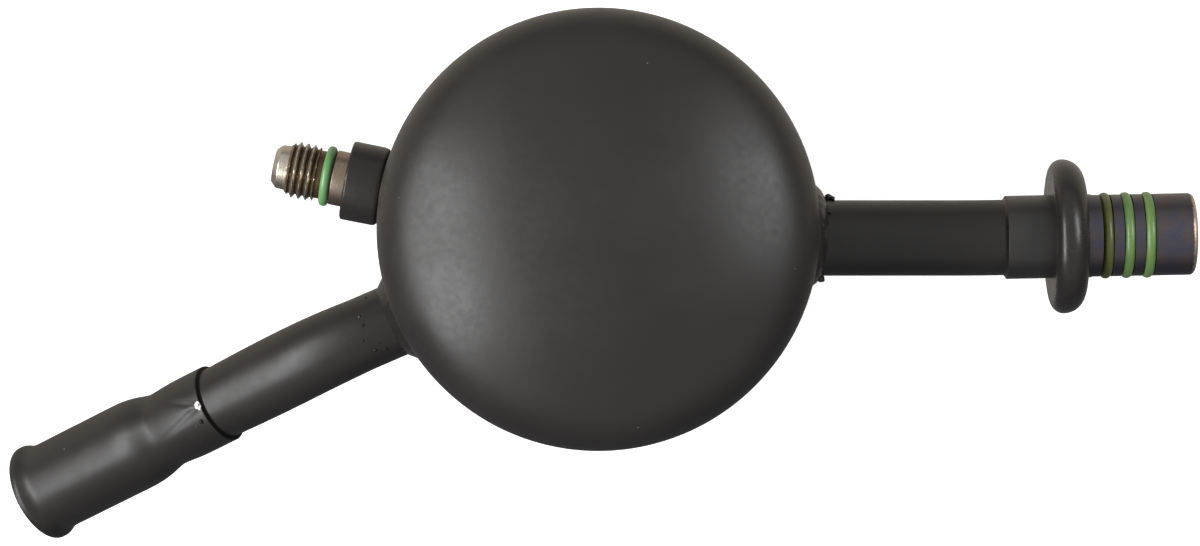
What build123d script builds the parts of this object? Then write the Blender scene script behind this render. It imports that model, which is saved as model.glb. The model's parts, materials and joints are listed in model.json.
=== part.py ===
from build123d import *
import os
from math import asin, atan2, cos, degrees, radians, sin, sqrt, tan

# Suction accumulator of a vehicle's air conditioning: a steel can with side tubes near its top.
# Millimetres. +Z runs up the can's axis, +X along the outlet tube. The origin is the middle of the
# strap band, the stretch of bare wall by which a clamp holds the can.

# Can: two deep-drawn steel cups
CAN_OD = 88.9
CAN_WALL = 1.8
CROWN_RADIUS = 80.0
KNUCKLE_RADIUS = 12.0
UPPER_STRAIGHT = 100.0
LOWER_STRAIGHT = 63.0
BAND_BELOW_SEAM = 35.0

# Joint between the cups: the lower one is stepped in and slips inside the upper one
NECK_LENGTH = 8.0
NECK_SLOPE = 2.6
NECK_CLEARANCE = 0.05
SEAM_GAP = 1.0
SEAM_BEAD_WIDTH = 6.5
SEAM_BEAD_HEIGHT = 1.1

# Tube stock for both ports
TUBE_OD = 15.875
TUBE_WALL = 1.245
HOLE_CLEARANCE = 0.05
OUTLET_WELD_LEG = 4.0
INLET_WELD_LEG = 5.2
WELD_CROWN = 0.03

# Outlet: straight outside the can, a U-shaped pickup inside it
OUTLET_BELOW_RIM = 40.0
OUTLET_OFFSET = 1.4
OUTLET_STUB = 40.9
ELBOW_INSET = 3.0
ELBOW_RADIUS = 24.0
PICKUP_SWING = 165.0
PICKUP_END_BELOW_RIM = 8.0
BLEED_HOLE = 1.5

# Inlet: leaves the wall square and then bends down
INLET_ANGLE = 203.3
INLET_BELOW_OUTLET = 26.0
INLET_INSIDE = 4.0
INLET_STRAIGHT = 12.6
INLET_BEND = 22.2
INLET_BEND_RADIUS = 38.0
INLET_BEND_ROLL = 7.4
INLET_AFTER_BEND = 20.9

# Fittings on the tube ends
JOINT_CLEARANCE = 0.05
EDGE_ROUND = 0.3
BRAZE_LEG = 0.45

# Inlet socket: sleeve over the tube, waist that stops it, cup for the mating spigot, flared rim
SLEEVE_WALL = 0.86
SLEEVE_LENGTH = 9.0
WAIST_OD = 16.95
WAIST_TAPER = 4.5
WAIST_LENGTH = 1.6
CUP_OD = 19.95
CUP_WALL = 1.2
CUP_SHOULDER = 5.6
CUP_LENGTH = 26.2
FLARE_OD = 22.1
FLARE_LENGTH = 3.4
FLARE_LIP = 1.2

# Outlet spigot: socket over the tube, groove for the cage, three seal grooves, plain nose
SPIGOT_CANT = 1.1
CANT_RUN = 10.0
CANT_LEAD = 1.0
SPIGOT_SOCKET_OD = 17.5
SPIGOT_SOCKET_DEPTH = 8.0
SPIGOT_NOSE_OD = 17.2
CAGE_GROOVE_AT = 9.45
CAGE_GROOVE_DEPTH = 0.5
SPIGOT_STEP_AT = 18.0
FIRST_SEAL_AT = 20.9
SEAL_PITCH = 4.4
SEAL_COUNT = 3
SEAL_SECTION = 1.8
SEAL_GROOVE_OD = 14.5
SEAL_GROOVE_WIDTH = 2.3
SEAL_PLAY = 0.02
NOSE_LENGTH = 8.7
NOSE_ROUND = 1.1
MOUTH_CHAMFER = 0.5

# Coupling cage: sheet rolled to a C section, open towards the spigot's nose
CAGE_OD = 32.4
CAGE_BACK_ROUND = 2.65
CAGE_FRONT_ROUND = 4.4
CAGE_SHEET = 1.1
CAGE_MOUTH_PLAY = 0.35
CAGE_SEAT_PLAY = 0.05

# Garter spring inside the cage
GARTER_COIL = 3.9
GARTER_PLAY = 0.1

# Switch port: boss, neck with a seal groove, threaded nose
PORT_ANGLE = 168.6
PORT_ABOVE_OUTLET = 15.0
BOSS_OD = 16.4
BOSS_HEIGHT = 8.5
BOSS_EDGE = 0.6
PORT_NECK_OD = 11.4
PORT_NECK_LENGTH = 2.8
PORT_SEAL_SECTION = 1.7
PORT_SEAL_GROOVE_OD = 9.2
PORT_SEAL_GROOVE_WIDTH = 2.3
THREAD_RELIEF_OD = 10.0
THREAD_RELIEF = 1.0
THREAD_OD = 11.8
THREAD_LENGTH = 6.2
THREAD_CHAMFER = 0.9
TIP_OD = 9.3
TIP_END_OD = 8.6
TIP_LENGTH = 2.0
TIP_ROUND = 0.95
PILOT_OD = 9.0
PORT_WELD_LEG = 1.6
PORT_PASSAGE = 3.0
CORE_CHAMBER = 4.4
CORE_THREAD_BORE = 4.9
CORE_MOUTH_CHAMFER = 0.5

# Valve core, measured inwards from the port's mouth
PIN_BELOW_MOUTH = 0.4
PIN_DIAMETER = 1.3
PIN_TRAVEL = 1.2
PIN_CLEARANCE = 0.05
PLUG_BELOW_MOUTH = 1.9
BRIDGE_HEIGHT = 1.8
BRIDGE_WIDTH = 1.9
PLUG_LENGTH = 2.6
PLUG_BORE = 2.6
CORE_CLEARANCE = 0.03
BARREL_OD = 3.8
BARREL_WALL = 0.5
BARREL_LENGTH = 8.8
BARREL_FLOOR = 0.8
BARREL_PORT = 1.9
GASKET_LENGTH = 1.6
COLLAR_OD = 2.5
COLLAR_THICKNESS = 0.5
SPRING_WIRE = 0.35
SPRING_TURNS = 6
SPRING_REST_LENGTH = 5.6
PIN_SEAL_OD = 3.1
PIN_SEAL_THICKNESS = 0.7
PIN_CUP_WALL = 0.25
CHAMBER_PLAY = 0.3

# Hood over the pickup's open end
HOOD_ID = 20.8
HOOD_WALL = 1.2
HOOD_SKIRT = 14.0
HOOD_HEADROOM = 5.0
HOOD_RIB_COUNT = 4
HOOD_RIB_WIDTH = 1.4
HOOD_WALL_PLAY = 0.3

# Oil filter clipped under the U-bend
SADDLE_WALL = 2.0
SADDLE_FLOOR = 1.6
SADDLE_SNAP = 1.6
SADDLE_PLAY = 0.1
FILTER_OD = 14.0
FILTER_WALL = 1.5
FILTER_HEIGHT = 9.0
FILTER_FLOOR_PLAY = 0.3
FILTER_THROAT = 6.0
SCREEN_WALL = 0.4
SCREEN_PLAY = 0.05
SCREEN_FLANGE = 1.0
WINDOW_COUNT = 4
WINDOW_WIDTH = 5.0
WINDOW_HEIGHT = 5.5
WINDOW_SILL = 1.5

# Drying bags on both sides of the U
BAG_WIDTH = 56.0
BAG_THICKNESS = 15.0
BAG_HEIGHT = 60.0
BAG_ROUND = 6.0
BAG_PLAY = 0.3
BAG_BELOW_BEND_CENTRE = 8.0
STRAP_WIDTH = 8.0
STRAP_THICKNESS = 0.6
STRAP_COUNT = 2
STRAP_SPACING = 30.0

# Places worked out from the sizes above
CAN_RADIUS = CAN_OD / 2
CAN_INSIDE = CAN_RADIUS - CAN_WALL
TUBE_RADIUS = TUBE_OD / 2
TUBE_BORE = TUBE_RADIUS - TUBE_WALL
SEAM_Z = BAND_BELOW_SEAM
UPPER_RIM_Z = SEAM_Z + UPPER_STRAIGHT
LOWER_RIM_Z = SEAM_Z - LOWER_STRAIGHT
CROWN_DROP = sqrt((CROWN_RADIUS - KNUCKLE_RADIUS) ** 2 - (CAN_RADIUS - KNUCKLE_RADIUS) ** 2)
CROWN_INSIDE = CROWN_RADIUS - CAN_WALL
OUTLET_Z = UPPER_RIM_Z - OUTLET_BELOW_RIM
INLET_Z = OUTLET_Z - INLET_BELOW_OUTLET
PORT_Z = OUTLET_Z + PORT_ABOVE_OUTLET


def turned(outline):
    """Solid of revolution about Z; the outline's X is the radius and its Y the height."""
    return revolve(make_face(Plane.XZ * outline), axis=Axis.Z)


def rounded(*corners):
    """Closed outline whose corners are given as (x, y, rounding)."""
    places = [corner[:2] for corner in corners]
    return FilletPolyline(*places, radius=[corner[2] for corner in corners], close=True)


def ring(outer, inner, low, high, rounding=0.0):
    """Round ring between two heights, its outer corners rounded."""
    return turned(
        rounded((inner, low, 0), (outer, low, rounding), (outer, high, rounding), (inner, high, 0))
    )


def rod(radius, low, high):
    """Plain round rod between two heights."""
    return turned(Polyline((0, low), (radius, low), (radius, high), (0, high), close=True))


def dished_plug(radius, crown, knuckle, straight):
    """Solid round plug, flat below and dished above, with its tangent line at height 0."""
    swing = degrees(asin((radius - knuckle) / (crown - knuckle)))
    outline = (
        CenterArc((0, -CROWN_DROP), crown, 90 - swing, swing)
        + CenterArc((radius - knuckle, 0), knuckle, 0, 90 - swing)
        + Polyline((radius, 0), (radius, -straight), (0, -straight), (0, crown - CROWN_DROP))
    )
    return turned(outline)


def drawn_cup(straight):
    """Cup with a dished end, open at the bottom, one wall thickness all over."""
    outside = dished_plug(CAN_RADIUS, CROWN_RADIUS, KNUCKLE_RADIUS, straight)
    inner_knuckle = KNUCKLE_RADIUS - CAN_WALL
    hollow = dished_plug(CAN_INSIDE, CROWN_INSIDE, inner_knuckle, straight + CAN_WALL)
    return outside - hollow


def port_frame(angle, height, offset=0.0):
    """Place on the can's axis whose Z runs out through the wall at a plan angle and whose X is up."""
    out = Vector(cos(radians(angle)), sin(radians(angle)), 0)
    aside = Vector(-out.Y, out.X, 0)
    return Location(Plane(origin=aside * offset + Vector(0, 0, height), x_dir=(0, 0, 1), z_dir=out))


OUTLET = port_frame(0, OUTLET_Z, -OUTLET_OFFSET)
INLET = port_frame(INLET_ANGLE, INLET_Z)
PORT = port_frame(PORT_ANGLE, PORT_Z)


def wall_hole(port, diameter):
    """Round cutter through the can's wall."""
    return port * rod(diameter / 2 + HOLE_CLEARANCE, CAN_RADIUS / 2, CAN_RADIUS + CAN_WALL)


def seated_on_wall(port, solid):
    """The solid, placed on a port, with the can's own round cut out of its foot."""
    can = Pos(0, 0, port.position.Z) * Cylinder(CAN_RADIUS, CAN_OD)
    return port * solid - can


def fillet_bead(port, radius, leg):
    """Weld bead round a tube or boss, its face slightly crowned, seated on the can's wall."""
    toe = radius + leg
    root = sqrt(CAN_INSIDE**2 - toe**2)
    bulge = leg / 2 + leg * WELD_CROWN
    face = ThreePointArc(
        (radius, CAN_RADIUS + leg), (radius + bulge, CAN_RADIUS + bulge), (toe, CAN_RADIUS)
    )
    back = Polyline((toe, CAN_RADIUS), (toe, root), (radius, root), (radius, CAN_RADIUS + leg))
    return seated_on_wall(port, turned(face + back))


# Can
def upper_shell():
    cup = Pos(0, 0, UPPER_RIM_Z) * drawn_cup(UPPER_STRAIGHT)
    cup -= wall_hole(OUTLET, TUBE_OD)
    cup -= wall_hole(INLET, TUBE_OD)
    cup -= wall_hole(PORT, PILOT_OD)
    return cup


# The lower cup's rim steps in below the seam and slips up inside the upper cup
NECK_RADIUS = CAN_INSIDE - NECK_CLEARANCE
NECK_FOOT_Z = SEAM_Z - SEAM_GAP
SLOPE_FOOT_Z = NECK_FOOT_Z - NECK_SLOPE


def lower_shell():
    cup = Pos(0, 0, LOWER_RIM_Z) * Rot(X=180) * drawn_cup(SLOPE_FOOT_Z - LOWER_RIM_Z)
    top = SEAM_Z + NECK_LENGTH
    lag = CAN_WALL * tan(atan2(CAN_RADIUS - NECK_RADIUS, NECK_SLOPE) / 2)
    neck = Polyline(
        (CAN_INSIDE, SLOPE_FOOT_Z),
        (CAN_RADIUS, SLOPE_FOOT_Z),
        (NECK_RADIUS, NECK_FOOT_Z),
        (NECK_RADIUS, top),
        (NECK_RADIUS - CAN_WALL, top),
        (NECK_RADIUS - CAN_WALL, NECK_FOOT_Z - lag),
        (CAN_INSIDE, SLOPE_FOOT_Z - lag),
        close=True,
    )
    return cup + turned(neck)


def girth_weld():
    """Crowned bead over the seam, filling the gap down to the stepped neck."""
    low = SEAM_Z - SEAM_GAP / 2 - SEAM_BEAD_WIDTH / 2
    high = low + SEAM_BEAD_WIDTH
    crest = (CAN_RADIUS + SEAM_BEAD_HEIGHT, (low + high) / 2)
    face = ThreePointArc((CAN_RADIUS, low), crest, (CAN_RADIUS, high))
    root = Polyline(
        (CAN_RADIUS, high),
        (CAN_RADIUS, SEAM_Z),
        (NECK_RADIUS, SEAM_Z),
        (NECK_RADIUS, NECK_FOOT_Z),
        (CAN_RADIUS, SLOPE_FOOT_Z),
        (CAN_RADIUS, low),
    )
    return turned(face + root)


# Outlet tube: plan of its spigot end, then the U inside the can
SPIGOT_EDGE = CAN_RADIUS + OUTLET_STUB
CANT = radians(SPIGOT_CANT)
CANT_BEND_RADIUS = CANT_RUN / CANT
CANT_FOOT = SPIGOT_EDGE - CANT_LEAD - CANT_RUN


def canted(turn):
    """Point on the outlet's slight bend, as (x, y) from the straight tube's axis."""
    return CANT_FOOT + CANT_BEND_RADIUS * sin(turn), CANT_BEND_RADIUS * (1 - cos(turn))


CANT_OUT = Vector(cos(CANT), sin(CANT), 0)
CANT_TOP = Vector(*canted(CANT), 0) + Vector(0, -OUTLET_OFFSET, OUTLET_Z)
SPIGOT_ORIGIN = CANT_TOP + CANT_OUT * CANT_LEAD
SPIGOT = Location(Plane(origin=SPIGOT_ORIGIN, x_dir=(0, 0, 1), z_dir=CANT_OUT))

HOOD_RADIUS = HOOD_ID / 2 + HOOD_WALL
PICKUP_DIR = Vector(cos(radians(PICKUP_SWING)), sin(radians(PICKUP_SWING)), 0)
DOWN_LEG = Vector(CAN_INSIDE - ELBOW_INSET - ELBOW_RADIUS, -OUTLET_OFFSET, 0)
UP_LEG_REACH = CAN_INSIDE - HOOD_RADIUS - HOOD_WALL_PLAY
LEG_ALONG = DOWN_LEG.dot(PICKUP_DIR)
LEG_SPACING = sqrt(LEG_ALONG**2 - DOWN_LEG.length**2 + UP_LEG_REACH**2) - LEG_ALONG
UP_LEG = DOWN_LEG + PICKUP_DIR * LEG_SPACING
U_CENTRE = (DOWN_LEG + UP_LEG) / 2
U_RADIUS = LEG_SPACING / 2
PICKUP_END_Z = UPPER_RIM_Z - PICKUP_END_BELOW_RIM

# The filter stands just clear of the lower dish, and the U-bend rests in its saddle
FILTER_REACH = U_CENTRE.length + FILTER_OD / 2
DISH_Z = LOWER_RIM_Z + CROWN_DROP - sqrt(CROWN_INSIDE**2 - FILTER_REACH**2)
FILTER_FOOT_Z = DISH_Z + FILTER_FLOOR_PLAY
SADDLE_FOOT_Z = FILTER_FOOT_Z + FILTER_HEIGHT
U_FOOT_Z = SADDLE_FOOT_Z + SADDLE_FLOOR + TUBE_RADIUS
U_CENTRE_Z = U_FOOT_Z + U_RADIUS


def at(place, height):
    """A plan position at a height."""
    return Vector(place.X, place.Y, height)


def u_bend():
    """Centre line of the U-bend at the foot of the pickup."""
    return ThreePointArc(at(UP_LEG, U_CENTRE_Z), at(U_CENTRE, U_FOOT_Z), at(DOWN_LEG, U_CENTRE_Z))


def outlet_tube():
    end = SPIGOT_ORIGIN + CANT_OUT * SPIGOT_SOCKET_DEPTH
    cant_middle = Vector(*canted(CANT / 2), 0) + Vector(0, -OUTLET_OFFSET, OUTLET_Z)
    cant_foot = Vector(CANT_FOOT, -OUTLET_OFFSET, OUTLET_Z)
    elbow_top = DOWN_LEG + Vector(ELBOW_RADIUS, 0, OUTLET_Z)
    elbow_foot = at(DOWN_LEG, OUTLET_Z - ELBOW_RADIUS)
    swung = ELBOW_RADIUS * (1 - sin(radians(45)))
    elbow_middle = DOWN_LEG + Vector(swung, 0, OUTLET_Z - swung)
    route = Wire(
        [
            Line(end, CANT_TOP),
            ThreePointArc(CANT_TOP, cant_middle, cant_foot),
            Line(cant_foot, elbow_top),
            ThreePointArc(elbow_top, elbow_middle, elbow_foot),
            Line(elbow_foot, at(DOWN_LEG, U_CENTRE_Z)),
            u_bend(),
            Line(at(UP_LEG, U_CENTRE_Z), at(UP_LEG, PICKUP_END_Z)),
        ]
    )
    section = Plane(origin=end, z_dir=-CANT_OUT) * (Circle(TUBE_RADIUS) - Circle(TUBE_BORE))
    tube = sweep(section, path=route)
    bleed = Pos(*at(U_CENTRE, U_FOOT_Z - TUBE_RADIUS)) * Cylinder(BLEED_HOLE / 2, TUBE_RADIUS)
    return tube - bleed


# Inlet tube, drawn in the plane of its bend: X towards the bend, Y out of the can
INLET_BENT = INLET * Rot(Z=180 + INLET_BEND_ROLL)
BEND = radians(INLET_BEND)
BEND_FOOT = CAN_RADIUS + INLET_STRAIGHT
SLEEVE_X = INLET_BEND_RADIUS * (1 - cos(BEND)) + INLET_AFTER_BEND * sin(BEND)
SLEEVE_Y = BEND_FOOT + INLET_BEND_RADIUS * sin(BEND) + INLET_AFTER_BEND * cos(BEND)
SLEEVE = INLET_BENT * Pos(SLEEVE_X, 0, SLEEVE_Y) * Rot(Y=INLET_BEND)


def inlet_tube():
    inner_end = CAN_INSIDE - INLET_INSIDE
    straight = Line((0, inner_end), (0, BEND_FOOT))
    bend = JernArc(straight @ 1, straight % 1, INLET_BEND_RADIUS, -INLET_BEND)
    tail = Line(bend @ 1, bend @ 1 + (bend % 1) * (INLET_AFTER_BEND + SLEEVE_LENGTH))
    section = Plane.XY.offset(inner_end) * (Circle(TUBE_RADIUS) - Circle(TUBE_BORE))
    return INLET_BENT * sweep(section, path=Plane.XZ * Wire([straight, bend, tail]))


# Inlet socket, measured from the sleeve's edge
SOCKET_BORE = TUBE_RADIUS + JOINT_CLEARANCE
WAIST_AT = SLEEVE_LENGTH + WAIST_TAPER
SHOULDER_AT = WAIST_AT + WAIST_LENGTH
CUP_AT = SHOULDER_AT + CUP_SHOULDER
SOCKET_LENGTH = CUP_AT + CUP_LENGTH + FLARE_LENGTH


def inlet_socket():
    sleeve = SOCKET_BORE + SLEEVE_WALL
    waist = WAIST_OD / 2
    cup = CUP_OD / 2
    flare = FLARE_OD / 2
    flare_at = SOCKET_LENGTH - FLARE_LENGTH
    lip_at = SOCKET_LENGTH - FLARE_LIP
    throat = waist - SLEEVE_WALL
    bore = cup - CUP_WALL
    bend = CUP_SHOULDER / 2
    outline = rounded(
        (SOCKET_BORE, 0, 0),
        (sleeve, 0, EDGE_ROUND),
        (sleeve, SLEEVE_LENGTH, WAIST_TAPER),
        (waist, WAIST_AT, WAIST_TAPER / 2),
        (waist, SHOULDER_AT, bend / 2),
        (cup, CUP_AT, bend),
        (cup, flare_at, FLARE_LENGTH / 2),
        (flare, lip_at, EDGE_ROUND),
        (flare, SOCKET_LENGTH, EDGE_ROUND),
        (flare - CUP_WALL, SOCKET_LENGTH, EDGE_ROUND),
        (bore, flare_at + FLARE_LIP / 2, FLARE_LENGTH / 2),
        (bore, CUP_AT, bend),
        (throat, SHOULDER_AT, bend / 2),
        (throat, WAIST_AT, WAIST_TAPER / 2),
        (SOCKET_BORE, SLEEVE_LENGTH, WAIST_TAPER),
    )
    return SLEEVE * turned(outline)


def braze_ring(place):
    """Small ring of braze between a socket's edge and the tube that enters it."""
    top = TUBE_RADIUS + BRAZE_LEG
    outline = Polyline((TUBE_RADIUS, 0), (top, 0), (TUBE_RADIUS, -BRAZE_LEG), close=True)
    return place * turned(outline)


# Outlet spigot, measured from its socket's edge
SPIGOT_RADIUS = SPIGOT_SOCKET_OD / 2
NOSE_RADIUS = SPIGOT_NOSE_OD / 2
SEALS_AT = [FIRST_SEAL_AT + i * SEAL_PITCH for i in range(SEAL_COUNT)]
SEAL_FLOOR = SEAL_GROOVE_OD / 2
SPIGOT_LENGTH = SEALS_AT[-1] + SEAL_GROOVE_WIDTH / 2 + NOSE_LENGTH
CAGE_SEAT = SPIGOT_RADIUS - CAGE_GROOVE_DEPTH


def outlet_spigot():
    body = turned(
        rounded(
            (SOCKET_BORE, 0, 0),
            (SPIGOT_RADIUS, 0, EDGE_ROUND),
            (SPIGOT_RADIUS, SPIGOT_STEP_AT, 0),
            (NOSE_RADIUS, SPIGOT_STEP_AT, 0),
            (NOSE_RADIUS, SPIGOT_LENGTH, NOSE_ROUND),
            (TUBE_BORE, SPIGOT_LENGTH, MOUTH_CHAMFER),
            (TUBE_BORE, SPIGOT_SOCKET_DEPTH, 0),
            (SOCKET_BORE, SPIGOT_SOCKET_DEPTH, 0),
        )
    )
    half = SEAL_GROOVE_WIDTH / 2
    for middle in SEALS_AT:
        body -= ring(SPIGOT_RADIUS, SEAL_FLOOR, middle - half, middle + half)
    cage_edge = CAGE_GROOVE_AT + CAGE_SHEET + CAGE_SEAT_PLAY
    body -= ring(SPIGOT_RADIUS + CAGE_GROOVE_DEPTH, CAGE_SEAT, CAGE_GROOVE_AT, cage_edge)
    return SPIGOT * body


def outlet_o_ring(number):
    middle = SEALS_AT[number]
    radius = SEAL_FLOOR + SEAL_PLAY + SEAL_SECTION / 2
    return SPIGOT * Pos(0, 0, middle) * Torus(radius, SEAL_SECTION / 2)


CAGE_PEAK_AT = CAGE_GROOVE_AT + CAGE_BACK_ROUND
CAGE_MOUTH_AT = CAGE_PEAK_AT + CAGE_FRONT_ROUND


def coupling_cage():
    """Rolled sheet: flat flank in the spigot's groove, crown with a tight and a wide round, lip."""
    peak = CAGE_OD / 2
    back = peak - CAGE_BACK_ROUND
    front = peak - CAGE_FRONT_ROUND
    lip = FLARE_OD / 2 + CAGE_MOUTH_PLAY
    left = CAGE_GROOVE_AT
    inner_left = left + CAGE_SHEET
    right = CAGE_MOUTH_AT
    inner_right = right - CAGE_SHEET
    seat = CAGE_SEAT + CAGE_SEAT_PLAY
    outline = (
        CenterArc((back, CAGE_PEAK_AT), CAGE_BACK_ROUND, -90, 90)
        + CenterArc((front, CAGE_PEAK_AT), CAGE_FRONT_ROUND, 0, 90)
        + Polyline((front, right), (lip, right), (lip, inner_right), (front, inner_right))
        + CenterArc((front, CAGE_PEAK_AT), CAGE_FRONT_ROUND - CAGE_SHEET, 0, 90)
        + CenterArc((back, CAGE_PEAK_AT), CAGE_BACK_ROUND - CAGE_SHEET, -90, 90)
        + Polyline((back, inner_left), (seat, inner_left), (seat, left), (back, left))
    )
    return SPIGOT * turned(outline)


GARTER_MIDDLE = CAGE_MOUTH_AT - CAGE_SHEET - GARTER_PLAY - GARTER_COIL / 2
GARTER_RADIUS = SPIGOT_RADIUS + GARTER_PLAY + GARTER_COIL / 2


def garter_spring():
    return SPIGOT * Pos(0, 0, GARTER_MIDDLE) * Torus(GARTER_RADIUS, GARTER_COIL / 2)


# Switch port, measured from the can's axis
NECK_AT = CAN_RADIUS + BOSS_HEIGHT
PORT_SEAL_AT = NECK_AT + PORT_NECK_LENGTH
RELIEF_AT = PORT_SEAL_AT + PORT_SEAL_GROOVE_WIDTH
THREAD_AT = RELIEF_AT + THREAD_RELIEF
TIP_AT = THREAD_AT + THREAD_LENGTH
PORT_MOUTH = TIP_AT + TIP_LENGTH + TIP_ROUND

# Valve core heights, counted back from the port's mouth
BRIDGE_TOP = PORT_MOUTH - PLUG_BELOW_MOUTH
PLUG_TOP = BRIDGE_TOP - BRIDGE_HEIGHT
BARREL_TOP = PLUG_TOP - PLUG_LENGTH
GASKET_FOOT = BARREL_TOP - GASKET_LENGTH
BARREL_FOOT = BARREL_TOP - BARREL_LENGTH
COLLAR_AT = BARREL_FOOT + BARREL_FLOOR + SPRING_REST_LENGTH
PIN_FOOT = BARREL_FOOT - PIN_SEAL_THICKNESS - PIN_CUP_WALL
CHAMBER_FOOT = PIN_FOOT - PIN_TRAVEL - CHAMBER_PLAY
CORE_BORE_RADIUS = CORE_THREAD_BORE / 2
CHAMBER_RADIUS = CORE_CHAMBER / 2


def switch_port():
    thread = THREAD_OD / 2
    relief = THREAD_RELIEF_OD / 2
    groove = PORT_SEAL_GROOVE_OD / 2
    neck = PORT_NECK_OD / 2
    boss = BOSS_OD / 2
    runout = THREAD_CHAMFER / 2
    outside = turned(
        rounded(
            (0, CAN_INSIDE - CAN_WALL, 0),
            (boss, CAN_INSIDE - CAN_WALL, 0),
            (boss, NECK_AT, BOSS_EDGE),
            (neck, NECK_AT, 0),
            (neck, PORT_SEAL_AT, EDGE_ROUND / 2),
            (groove, PORT_SEAL_AT, 0),
            (groove, RELIEF_AT, 0),
            (relief, RELIEF_AT, 0),
            (relief, THREAD_AT, 0),
            (thread, THREAD_AT + runout, 0),
            (thread, TIP_AT - runout, 0),
            (TIP_OD / 2, TIP_AT, 0),
            (TIP_END_OD / 2, TIP_AT + TIP_LENGTH, EDGE_ROUND / 2),
            (TIP_END_OD / 2 - TIP_ROUND, PORT_MOUTH, 0),
            (0, PORT_MOUTH, 0),
        )
    )
    body = seated_on_wall(PORT, outside)
    body += PORT * rod(PILOT_OD / 2, CAN_INSIDE, CAN_RADIUS + BOSS_HEIGHT / 2)
    bore = turned(
        Polyline(
            (0, CAN_INSIDE - CAN_WALL),
            (PORT_PASSAGE / 2, CAN_INSIDE - CAN_WALL),
            (PORT_PASSAGE / 2, CHAMBER_FOOT),
            (CHAMBER_RADIUS, CHAMBER_FOOT),
            (CHAMBER_RADIUS, GASKET_FOOT),
            (CORE_BORE_RADIUS, BARREL_TOP),
            (CORE_BORE_RADIUS, PORT_MOUTH - CORE_MOUTH_CHAMFER),
            (CORE_BORE_RADIUS + CORE_MOUTH_CHAMFER, PORT_MOUTH),
            (0, PORT_MOUTH),
            close=True,
        )
    )
    return body - PORT * bore


def port_o_ring():
    radius = PORT_SEAL_GROOVE_OD / 2 + SEAL_PLAY + PORT_SEAL_SECTION / 2
    middle = PORT_SEAL_AT + PORT_SEAL_GROOVE_WIDTH / 2
    return PORT * Pos(0, 0, middle) * Torus(radius, PORT_SEAL_SECTION / 2)


# Valve core: threaded plug with a bridge, barrel, gasket, and the sprung pin with its seal
PIN_RADIUS = PIN_DIAMETER / 2
BARREL_BORE = BARREL_OD / 2 - BARREL_WALL


def valve_core_plug():
    outer = CORE_BORE_RADIUS - CORE_CLEARANCE
    body = ring(outer, PLUG_BORE / 2, BARREL_TOP, PLUG_TOP)
    slab = Pos(0, 0, (PLUG_TOP + BRIDGE_TOP) / 2) * Box(2 * outer, BRIDGE_WIDTH, BRIDGE_HEIGHT)
    bridge = slab & rod(outer, PLUG_TOP, BRIDGE_TOP)
    pin_hole = rod(PIN_RADIUS + PIN_CLEARANCE, PLUG_TOP, BRIDGE_TOP)
    return PORT * (body + bridge - pin_hole)


def valve_core_barrel():
    outer = BARREL_OD / 2
    sleeve = ring(outer, BARREL_BORE, BARREL_FOOT + BARREL_FLOOR, BARREL_TOP)
    floor = ring(outer, BARREL_PORT / 2, BARREL_FOOT, BARREL_FOOT + BARREL_FLOOR)
    return PORT * (sleeve + floor)


def valve_core_gasket():
    """Soft ring pressed between the barrel and the port's cone."""
    inner = BARREL_OD / 2
    outline = Polyline(
        (inner, GASKET_FOOT),
        (CHAMBER_RADIUS - CORE_CLEARANCE, GASKET_FOOT),
        (CORE_BORE_RADIUS - CORE_CLEARANCE, BARREL_TOP),
        (inner, BARREL_TOP),
        close=True,
    )
    return PORT * turned(outline)


def valve_pin():
    """Pin with a collar for the spring and a cup at its foot that carries the seal."""
    cup = PIN_SEAL_OD / 2
    pin = rod(PIN_RADIUS, PIN_FOOT, PORT_MOUTH - PIN_BELOW_MOUTH)
    pin += ring(COLLAR_OD / 2, PIN_RADIUS / 2, COLLAR_AT, COLLAR_AT + COLLAR_THICKNESS)
    pin += ring(cup + PIN_CUP_WALL, PIN_RADIUS / 2, PIN_FOOT, PIN_FOOT + PIN_CUP_WALL)
    pin += ring(cup + PIN_CUP_WALL, cup, PIN_FOOT, PIN_FOOT + PIN_CUP_WALL + PIN_SEAL_THICKNESS / 2)
    return PORT * pin


def valve_pin_seal():
    return PORT * ring(PIN_SEAL_OD / 2, PIN_RADIUS, PIN_FOOT + PIN_CUP_WALL, BARREL_FOOT)


def valve_spring():
    """Coil with ground ends, between the barrel's floor and the pin's collar."""
    low = COLLAR_AT - SPRING_REST_LENGTH
    middle = (COLLAR_OD - SPRING_WIRE) / 2
    pitch = SPRING_REST_LENGTH / SPRING_TURNS
    coil = Helix(pitch, SPRING_REST_LENGTH, middle)
    wire = sweep(Plane(origin=coil @ 0, z_dir=coil % 0) * Circle(SPRING_WIRE / 2), path=coil)
    ground = rod(COLLAR_OD, 0, SPRING_REST_LENGTH)
    return PORT * Pos(0, 0, low) * (wire & ground)


# Hood over the open end of the pickup
def vapour_hood():
    skirt = PICKUP_END_Z - HOOD_SKIRT
    roof = PICKUP_END_Z + HOOD_HEADROOM
    inside = HOOD_ID / 2
    hood = turned(
        rounded(
            (inside, skirt, 0),
            (HOOD_RADIUS, skirt, 0),
            (HOOD_RADIUS, roof + HOOD_WALL, HOOD_WALL),
            (0, roof + HOOD_WALL, 0),
            (0, roof, 0),
            (inside, roof, 0),
        )
    )
    reach = inside - TUBE_BORE
    height = roof - skirt
    rib = Pos(TUBE_BORE + reach / 2, 0, (roof + skirt) / 2) * Box(reach, HOOD_RIB_WIDTH, height)
    ribs = Compound(PolarLocations(0, HOOD_RIB_COUNT) * rib)
    fitted = hood + ribs - rod(TUBE_RADIUS + JOINT_CLEARANCE, skirt, PICKUP_END_Z)
    return Pos(UP_LEG.X, UP_LEG.Y, 0) * fitted


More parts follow.
